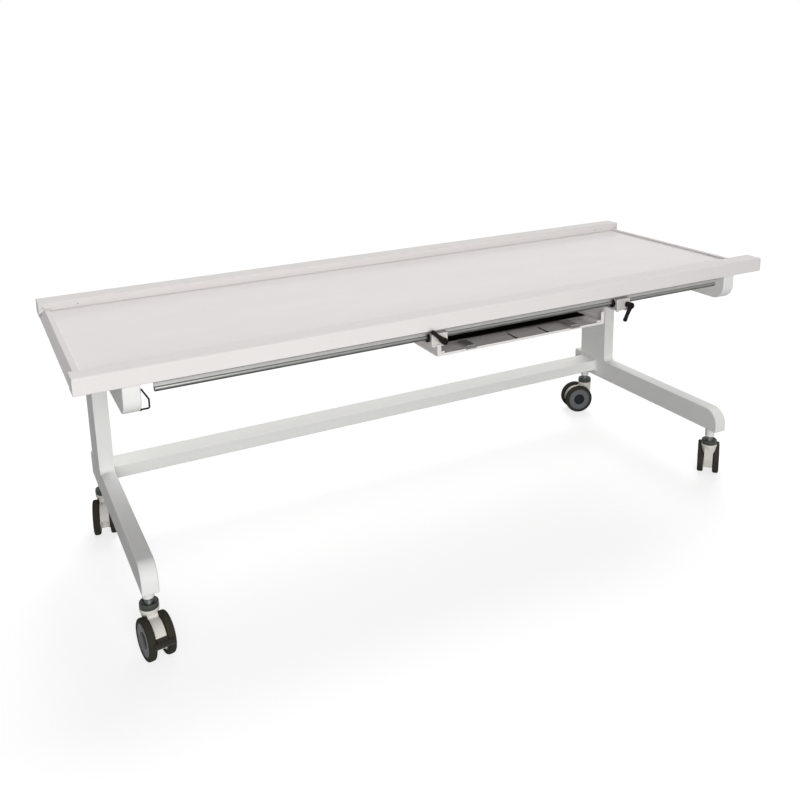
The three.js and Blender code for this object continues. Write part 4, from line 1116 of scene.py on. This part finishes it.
class TABLE_OT_clamp_levers(Build, bpy.types.Operator):
    """Clamp levers with turned hubs, swept handles and their screws"""
    bl_idname = "table.clamp_levers"
    bl_label = "Clamp levers"

    def execute(self, context):
        size = sizes()
        for name, angle in (("left", size.left_lever_angle), ("right", size.right_lever_angle)):
            self.lever(name, angle)
        return {"FINISHED"}

    def lever(self, name, angle):
        size = sizes()
        pivot = Vector(JOINTS[f"{name}_lever_turn"]["pos_m"])
        # Handle along local X, hub axis along local Z, which points to the front
        turn = Matrix.Translation(pivot) @ Matrix((
            (math.cos(angle), -math.sin(angle), 0, 0),
            (0, 0, -1, 0),
            (math.sin(angle), math.cos(angle), 0, 0),
            (0, 0, 0, 1)))
        radius = size.lever_hub
        depth = size.lever_hub_depth
        bm = bmesh.new()
        lathe(bm, [
            (0, -8 * MM), (3.9 * MM, -8 * MM), (3.9 * MM, 0.4 * MM), (radius * 0.86, 0.4 * MM),
            (radius * 0.9, 2.5 * MM), (radius * 0.8, 6 * MM), (radius * 0.86, 8.5 * MM), (radius, 10.5 * MM),
            (radius, depth - 2.4 * MM), (radius - 0.7 * MM, depth - 0.8 * MM), (radius - 2.2 * MM, depth),
            (5.6 * MM, depth), (5.2 * MM, depth - 1 * MM), (0, depth - 1 * MM),
        ], 40, turn)
        rings = []
        rise = depth - 6 * MM
        stations = (
            (0.0, 7.4, 4.8), (0.14, 7.2, 4.8), (0.28, 6.2, 4.7), (0.45, 5.3, 4.5), (0.62, 5.0, 4.5),
            (0.78, 5.4, 4.7), (0.9, 5.8, 4.7), (0.96, 5.2, 4.2), (0.99, 3.6, 2.8), (1.0, 1.2, 1.0))
        for along, tall, thick in stations:
            ring = []
            for k in range(24):
                turn_angle = 2 * math.pi * k / 24
                c, s = math.cos(turn_angle), math.sin(turn_angle)
                u = math.copysign(abs(c) ** 0.75, c) * tall * MM
                v = math.copysign(abs(s) ** 0.75, s) * thick * MM
                ring.append(turn @ Vector((along * size.lever_length, u, rise + v)))
            rings.append(ring)
        loft(bm, rings)
        piece_from(
            bm, f"{name}_lever", f"{name}_lever", "lever_black", (f"{name}_clamp_lever",), smooth=50, weigh=False)
        top = turn @ Vector((0, 0, depth - 1 * MM))
        screws(
            f"{name}_lever_screw", [top], (0, -1, 0), 4.2 * MM, 1.2 * MM, f"{name}_lever", "seal_dark")


class TABLE_OT_wire_loop(Build, bpy.types.Operator):
    """Bent wire loop on the left arm with the two ferrules that hold its ends"""
    bl_idname = "table.wire_loop"
    bl_label = "Wire loop"

    def execute(self, context):
        size = sizes()
        low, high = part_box("wire_loop")
        y = (low.y + high.y) / 2
        reach = high.x - size.loop_wire
        top = high.z - size.loop_wire
        foot = low.z + size.loop_wire
        points = [
            (low.x, y, top), (low.x + 2 * size.loop_wire, y, top), (reach, y, top - size.loop_slope),
            (reach, y, foot), (low.x, y, foot)]
        round_bars("cable_loop", [points], size.loop_wire, 3.5 * MM, "table", "lever_black", ("wire_loop",))
        bm = bmesh.new()
        for z in (top, foot):
            turn = Matrix.Translation((low.x, y, z)) @ Matrix.Rotation(math.pi / 2, 4, "Y")
            lathe(bm, [
                (0, -2.6 * MM), (3.1 * MM, -2.6 * MM), (3.1 * MM, 0.9 * MM), (2.5 * MM, 1.5 * MM), (0, 1.5 * MM)], 28, turn)
        piece_from(bm, "cable_loop_ferrules", "table", "lever_black")
        return {"FINISHED"}


class TABLE_OT_casters(Build, bpy.types.Operator):
    """Caps, moulded bodies, wheels and brake pedals of the casters"""
    bl_idname = "table.casters"
    bl_label = "Casters"

    def execute(self, context):
        for name in CASTERS:
            self.cap(name)
            self.body(name)
            for wheel in "ab":
                self.wheel(name, wheel)
            if f"{name}_brake_pedal" in JOINTS:
                self.pedal(name)
        return {"FINISHED"}

    def cap(self, name):
        """Dark cap with a raised rim, a plated dish inside it and the boss that carries the stub"""
        size = sizes()
        low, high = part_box(f"{name}_collar")
        spot = Vector(JOINTS[f"{name}_swivel"]["pos_m"])
        turn = Matrix.Translation((spot.x, spot.y, 0))
        base = spot.z
        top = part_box("left_foot")[0].z - 0.1 * MM
        rim = top - size.boss_rise
        dish = rim - size.dish_depth
        boss = size.boss_radius
        wide = (high.x - low.x) / 2
        inner = wide - size.cap_rim
        profile = [
            (0, base), (wide - 1.2 * MM, base), (wide - 0.3 * MM, base + 0.6 * MM), (wide, base + 1.6 * MM),
            (wide, base + 4.6 * MM), (wide - 0.9 * MM, base + 5.1 * MM), (wide - 0.9 * MM, base + 5.7 * MM),
            (wide - 0.1 * MM, base + 6.2 * MM), (wide - 0.2 * MM, rim - 2.2 * MM), (wide - 0.9 * MM, rim - 0.7 * MM),
            (wide - 2 * MM, rim), (inner, rim - 0.3 * MM), (inner - 1.4 * MM, rim - 1.6 * MM),
            (boss + 4 * MM, dish + 0.6 * MM), (boss + 1.4 * MM, dish), (boss + 0.3 * MM, dish + 1 * MM),
            (boss, dish + 2.4 * MM), (boss, top), (0, top),
        ]
        bm = bmesh.new()
        lathe(bm, profile, 56, turn)
        piece_from(bm, f"{name}_cap", "table", "collar_grey", (f"{name}_collar",), weigh=False)
        plate = [
            (inner - 0.4 * MM, rim - 0.4 * MM), (inner - 1.5 * MM, rim - 1.2 * MM), (boss + 4 * MM, dish + 1.1 * MM),
            (boss + 1.5 * MM, dish + 0.6 * MM), (boss + 0.5 * MM, dish + 1.6 * MM), (boss + 0.4 * MM, top - 1 * MM),
            (boss - 0.2 * MM, top - 0.1 * MM), (boss - 0.2 * MM, dish), (boss + 4 * MM, dish - 0.4 * MM), (inner - 1.5 * MM, rim - 2.6 * MM), (inner - 0.4 * MM, rim - 0.4 * MM),
        ]
        bm = bmesh.new()
        lathe(bm, plate, 56, turn)
        piece_from(bm, f"{name}_cap_dish", "table", "bright_steel", finish="dish_metal", smooth=50, weigh=False)

    def body(self, name):
        """Moulded body, rounded on a grid that lies square to its blades"""
        across = JOINTS[f"{name}_spin_a"]["axis"]
        square = Matrix.Rotation(-math.atan2(across[1], across[0]), 4, "Z")
        bm = node_copy(f"{name}_fork")
        bm.transform(square)
        mesh = bpy.data.meshes.new(f"{name}_body")
        bm.to_mesh(mesh)
        bm.free()
        piece = new_piece(f"{name}_body", mesh)
        grid = piece.modifiers.new("grid", "REMESH")
        grid.mode = "VOXEL"
        grid.voxel_size = sizes().fork_voxel
        smooth = piece.modifiers.new("smooth", "SMOOTH")
        smooth.factor = 0.5
        smooth.iterations = 16
        thin = piece.modifiers.new("thin", "DECIMATE")
        thin.ratio = 0.4
        settle(piece)
        piece.data.transform(square.inverted())
        piece.data.shade_smooth()
        place_piece(piece, f"{name}_caster", "fork_grey", (f"{name}_fork",))

    def wheel(self, name, wheel):
        """Tyre, disc and cap, turned about the axle with the outer face up the matrix's Z"""
        size = sizes()
        joint = JOINTS[f"{name}_spin_{wheel}"]
        centre = Vector(joint["pos_m"])
        outward = Vector(joint["axis"]) * (1 if wheel == "b" else -1)
        turn = Matrix.Translation(centre) @ Vector((0, 0, 1)).rotation_difference(outward).to_matrix().to_4x4()
        half = 9 * MM
        radius = size.wheel_radius
        shoulder = size.tyre_shoulder
        disc = size.disc_radius
        flank = []
        for k in range(7):
            angle = math.pi / 2 * k / 6
            flank.append((
                radius - shoulder + shoulder * math.sin(angle), half - shoulder + shoulder * math.cos(angle)))
        crown = flank + [(r, -h) for r, h in reversed(flank)]
        side = [
            (disc, half - 1.6 * MM), (disc + 1 * MM, half - 0.4 * MM), (disc + 2.2 * MM, half - 0.1 * MM),
            (disc + 3.2 * MM, half - 0.5 * MM), (disc + 3.8 * MM, half - 0.5 * MM), (disc + 4.4 * MM, half)]
        tyre = side + crown + [(r, -h) for r, h in reversed(side)] + [side[0]]
        bm = bmesh.new()
        lathe(bm, tyre, 72, turn)
        piece_from(
            bm, f"{name}_tread_{wheel}", f"{name}_wheel_{wheel}", "tyre_grey", (f"{name}_tyre_{wheel}",), smooth=42)
        rim = disc + 0.2 * MM
        plate = [
            (0, half - 2.4 * MM), (20.4 * MM, half - 2.4 * MM), (20.8 * MM, half - 1.6 * MM),
            (22 * MM, half - 1.2 * MM), (32 * MM, half - 1.8 * MM), (33 * MM, half - 2.4 * MM),
            (34 * MM, half - 1.8 * MM), (35 * MM, half - 0.9 * MM), (rim - 1 * MM, half - 0.8 * MM),
            (rim, half - 1.4 * MM), (rim, -half + 1.5 * MM), (30 * MM, -half + 1.2 * MM), (28 * MM, -half + 3 * MM),
            (14 * MM, -half + 3 * MM), (12 * MM, -half), (0, -half)]
        bm = bmesh.new()
        lathe(bm, plate, 64, turn)
        piece_from(bm, f"{name}_disc_{wheel}", f"{name}_wheel_{wheel}", "hub_grey", (f"{name}_hub_{wheel}",))
        cap = size.cap_radius
        dome = [
            (0, half - 2.6 * MM), (cap, half - 2.6 * MM), (cap, half - 1.2 * MM), (cap - 0.8 * MM, half - 0.4 * MM),
            (cap - 3 * MM, half - 0.1 * MM), (cap - 3.8 * MM, half - 0.7 * MM), (cap - 4.6 * MM, half - 0.1 * MM),
            (6 * MM, half + 0.5 * MM), (0, half + 0.6 * MM)]
        bm = bmesh.new()
        lathe(bm, dome, 56, turn)
        piece_from(bm, f"{name}_wheel_cap_{wheel}", f"{name}_wheel_{wheel}", "hub_grey", finish="wheel_cap")

    def pedal(self, name):
        """Pedal with grip ribs across the slope of its tread"""
        size = sizes()
        pivot = Vector(JOINTS[f"{name}_brake_pedal"]["pos_m"])
        across = Vector(JOINTS[f"{name}_spin_a"]["axis"])
        ahead = across.cross(Vector((0, 0, 1)))
        ahead *= math.copysign(1, ahead.dot(pivot - Vector(JOINTS[f"{name}_swivel"]["pos_m"])))
        bm = node_copy(f"{name}_pedal")
        # Straight brow over the neck, clear of the hood
        brow = ((9.2, 1.0), (19.0, 1.0), (19.0, 5.6), (11.4, 8.6), (9.2, 8.6))
        loft(bm, [
            [pivot + across * side * size.pedal_brow + ahead * u * MM + Vector((0, 0, v * MM)) for u, v in brow]
            for side in (-1, 1)])
        bmesh.ops.recalc_face_normals(bm, faces=bm.faces)
        soften(bm, size.pedal_edge, 3)
        piece_from(bm, f"{name}_brake_tread", f"{name}_brake", "pedal_dark", (f"{name}_pedal",))
        runs = []
        for reach, rise in ((26, 5.0), (28.6, 4.2), (31.2, 3.4)):
            middle = pivot + ahead * reach * MM + Vector((0, 0, rise * MM))
            runs.append([middle - across * 20 * MM, middle + across * 20 * MM])
        round_bars(f"{name}_brake_ribs", runs, size.pedal_rib, 0.0, f"{name}_brake", "pedal_dark")


class TABLE_OT_stage(Build, bpy.types.Operator):
    """Pale floor, soft studio light, white surroundings and the camera"""
    bl_idname = "table.stage"
    bl_label = "Stage"

    def execute(self, context):
        scene = context.scene
        scene.view_settings.view_transform = "Standard"
        self.floor()
        self.surroundings(scene)
        self.panel("soft_box", (-0.9, -3.0, 1.1), (-0.2, 0.0, 0.5), 1.4, 40)
        self.lamp("front_fill", (-0.22, -0.9, 0.4), 50, 1.08)
        self.lamp("top_rear", (0.4, 0.55, 0.85), 44, 2.0)
        self.camera(scene)
        return {"FINISHED"}

    def floor(self):
        mesh = bpy.data.meshes.new("floor")
        bm = bmesh.new()
        reach = 14
        corners = [bm.verts.new((x * reach, y * reach, 0)) for x, y in ((-1, -1), (1, -1), (1, 1), (-1, 1))]
        bm.faces.new(corners)
        bm.to_mesh(mesh)
        bm.free()
        floor = new_piece("floor", mesh)
        paint = bpy.data.materials.new("studio_floor")
        paint.use_nodes = True
        tree = paint.node_tree
        tree.nodes.clear()
        link = tree.links.new
        rays = tree.nodes.new("ShaderNodeLightPath")
        seen = tree.nodes.new("ShaderNodeMath")
        seen.operation = "MAXIMUM"
        shown = tree.nodes.new("ShaderNodeMath")
        shown.operation = "MAXIMUM"
        body = tree.nodes.new("ShaderNodeBsdfDiffuse")
        body.inputs["Color"].default_value = (0.42, 0.42, 0.42, 1)
        glow = tree.nodes.new("ShaderNodeEmission")
        glow.inputs["Color"].default_value = (1, 1, 1, 1)
        glow.inputs["Strength"].default_value = 0.72
        both = tree.nodes.new("ShaderNodeAddShader")
        bounce = tree.nodes.new("ShaderNodeBsdfDiffuse")
        bounce.inputs["Color"].default_value = (0.35, 0.35, 0.35, 1)
        mix = tree.nodes.new("ShaderNodeMixShader")
        out = tree.nodes.new("ShaderNodeOutputMaterial")
        link(rays.outputs["Is Camera Ray"], seen.inputs[0])
        link(rays.outputs["Is Glossy Ray"], seen.inputs[1])
        link(seen.outputs["Value"], shown.inputs[0])
        link(rays.outputs["Is Transmission Ray"], shown.inputs[1])
        link(body.outputs["BSDF"], both.inputs[0])
        link(glow.outputs["Emission"], both.inputs[1])
        link(shown.outputs["Value"], mix.inputs["Fac"])
        link(bounce.outputs["BSDF"], mix.inputs[1])
        link(both.outputs["Shader"], mix.inputs[2])
        link(mix.outputs["Shader"], out.inputs["Surface"])
        mesh.materials.append(paint)

    def surroundings(self, scene):
        world = bpy.data.worlds.new("studio")
        world.use_nodes = True
        scene.world = world
        tree = world.node_tree
        link = tree.links.new
        light = tree.nodes["Background"]
        light.inputs["Color"].default_value = (1, 1, 1, 1)
        light.inputs["Strength"].default_value = 0.13
        white = tree.nodes.new("ShaderNodeBackground")
        white.inputs["Color"].default_value = (1, 1, 1, 1)
        white.inputs["Strength"].default_value = 1.0
        rays = tree.nodes.new("ShaderNodeLightPath")
        seen = tree.nodes.new("ShaderNodeMath")
        seen.operation = "MAXIMUM"
        shown = tree.nodes.new("ShaderNodeMath")
        shown.operation = "MAXIMUM"
        mix = tree.nodes.new("ShaderNodeMixShader")
        link(rays.outputs["Is Camera Ray"], seen.inputs[0])
        link(rays.outputs["Is Glossy Ray"], seen.inputs[1])
        link(seen.outputs["Value"], shown.inputs[0])
        link(rays.outputs["Is Transmission Ray"], shown.inputs[1])
        link(shown.outputs["Value"], mix.inputs["Fac"])
        link(light.outputs["Background"], mix.inputs[1])
        link(white.outputs["Background"], mix.inputs[2])
        link(mix.outputs["Shader"], tree.nodes["World Output"].inputs["Surface"])

    def lamp(self, name, source, spread, power):
        """Broad distant lamp that shines from one direction"""
        data = bpy.data.lights.new(name, "SUN")
        data.angle = math.radians(spread)
        data.energy = power
        lamp = bpy.data.objects.new(name, data)
        lamp.location = source
        lamp.rotation_euler = Vector(source).to_track_quat("Z", "Y").to_euler()
        lamp.visible_glossy = False
        bpy.context.scene.collection.objects.link(lamp)

    def panel(self, name, place, aim, size, power):
        """Square soft box that stands in the studio and faces one point"""
        data = bpy.data.lights.new(name, "AREA")
        data.size = size
        data.energy = power
        lamp = bpy.data.objects.new(name, data)
        lamp.location = place
        lamp.rotation_euler = (Vector(place) - Vector(aim)).to_track_quat("Z", "Y").to_euler()
        bpy.context.scene.collection.objects.link(lamp)

    def camera(self, scene):
        """Viewing angle of the photograph: heading to the right of +Y, tilt down, and a slight roll"""
        heading, tilt, roll = math.radians(26.21), math.radians(13.3), math.radians(-1.4)
        ahead = Vector((
            math.sin(heading) * math.cos(tilt), math.cos(heading) * math.cos(tilt), -math.sin(tilt)))
        right = Vector((math.cos(heading), -math.sin(heading), 0))
        up = right.cross(ahead)
        right, up = (
            right * math.cos(roll) + up * math.sin(roll),
            up * math.cos(roll) - right * math.sin(roll))
        data = bpy.data.cameras.new("camera")
        data.sensor_width = 36
        data.lens = sizes().camera_lens
        data.shift_x = 0.0197
        data.shift_y = -0.1834
        camera = bpy.data.objects.new("camera", data)
        camera.matrix_world = Matrix.Translation((-1.18, TABLE_Y - 2.1955, 1.3681)) @ Matrix(
            (right, up, -ahead)).transposed().to_4x4()
        scene.collection.objects.link(camera)
        scene.camera = camera


class TABLE_PT_panel(bpy.types.Panel):
    """Building steps and finish settings of the table"""
    bl_idname = "TABLE_PT_panel"
    bl_label = "Radiography table"
    bl_space_type = "VIEW_3D"
    bl_region_type = "UI"
    bl_category = "Table"

    def draw(self, context):
        for operator in OPERATORS:
            self.layout.operator(operator.bl_idname)
        for settings in (context.scene.table_sizes, context.scene.table_colours):
            column = self.layout.column()
            for name in settings.__annotations__:
                column.prop(settings, name)


OPERATORS = (
    TABLE_OT_stage, TABLE_OT_top, TABLE_OT_end_frames, TABLE_OT_cross_tube, TABLE_OT_guides, TABLE_OT_carriage,
    TABLE_OT_drawer, TABLE_OT_clamp_levers, TABLE_OT_wire_loop, TABLE_OT_casters,
)
CLASSES = (TableSizes, TableColours, *OPERATORS, TABLE_PT_panel)


def register():
    for cls in CLASSES:
        bpy.utils.register_class(cls)
    bpy.types.Scene.table_sizes = PointerProperty(type=TableSizes)
    bpy.types.Scene.table_colours = PointerProperty(type=TableColours)


def unregister():
    del bpy.types.Scene.table_colours
    del bpy.types.Scene.table_sizes
    for cls in reversed(CLASSES):
        bpy.utils.unregister_class(cls)


def main():
    register()
    for operator in OPERATORS:
        step = operator.bl_idname.split(".")[1]
        getattr(bpy.ops.table, step)()


if __name__ == "__main__":
    main()
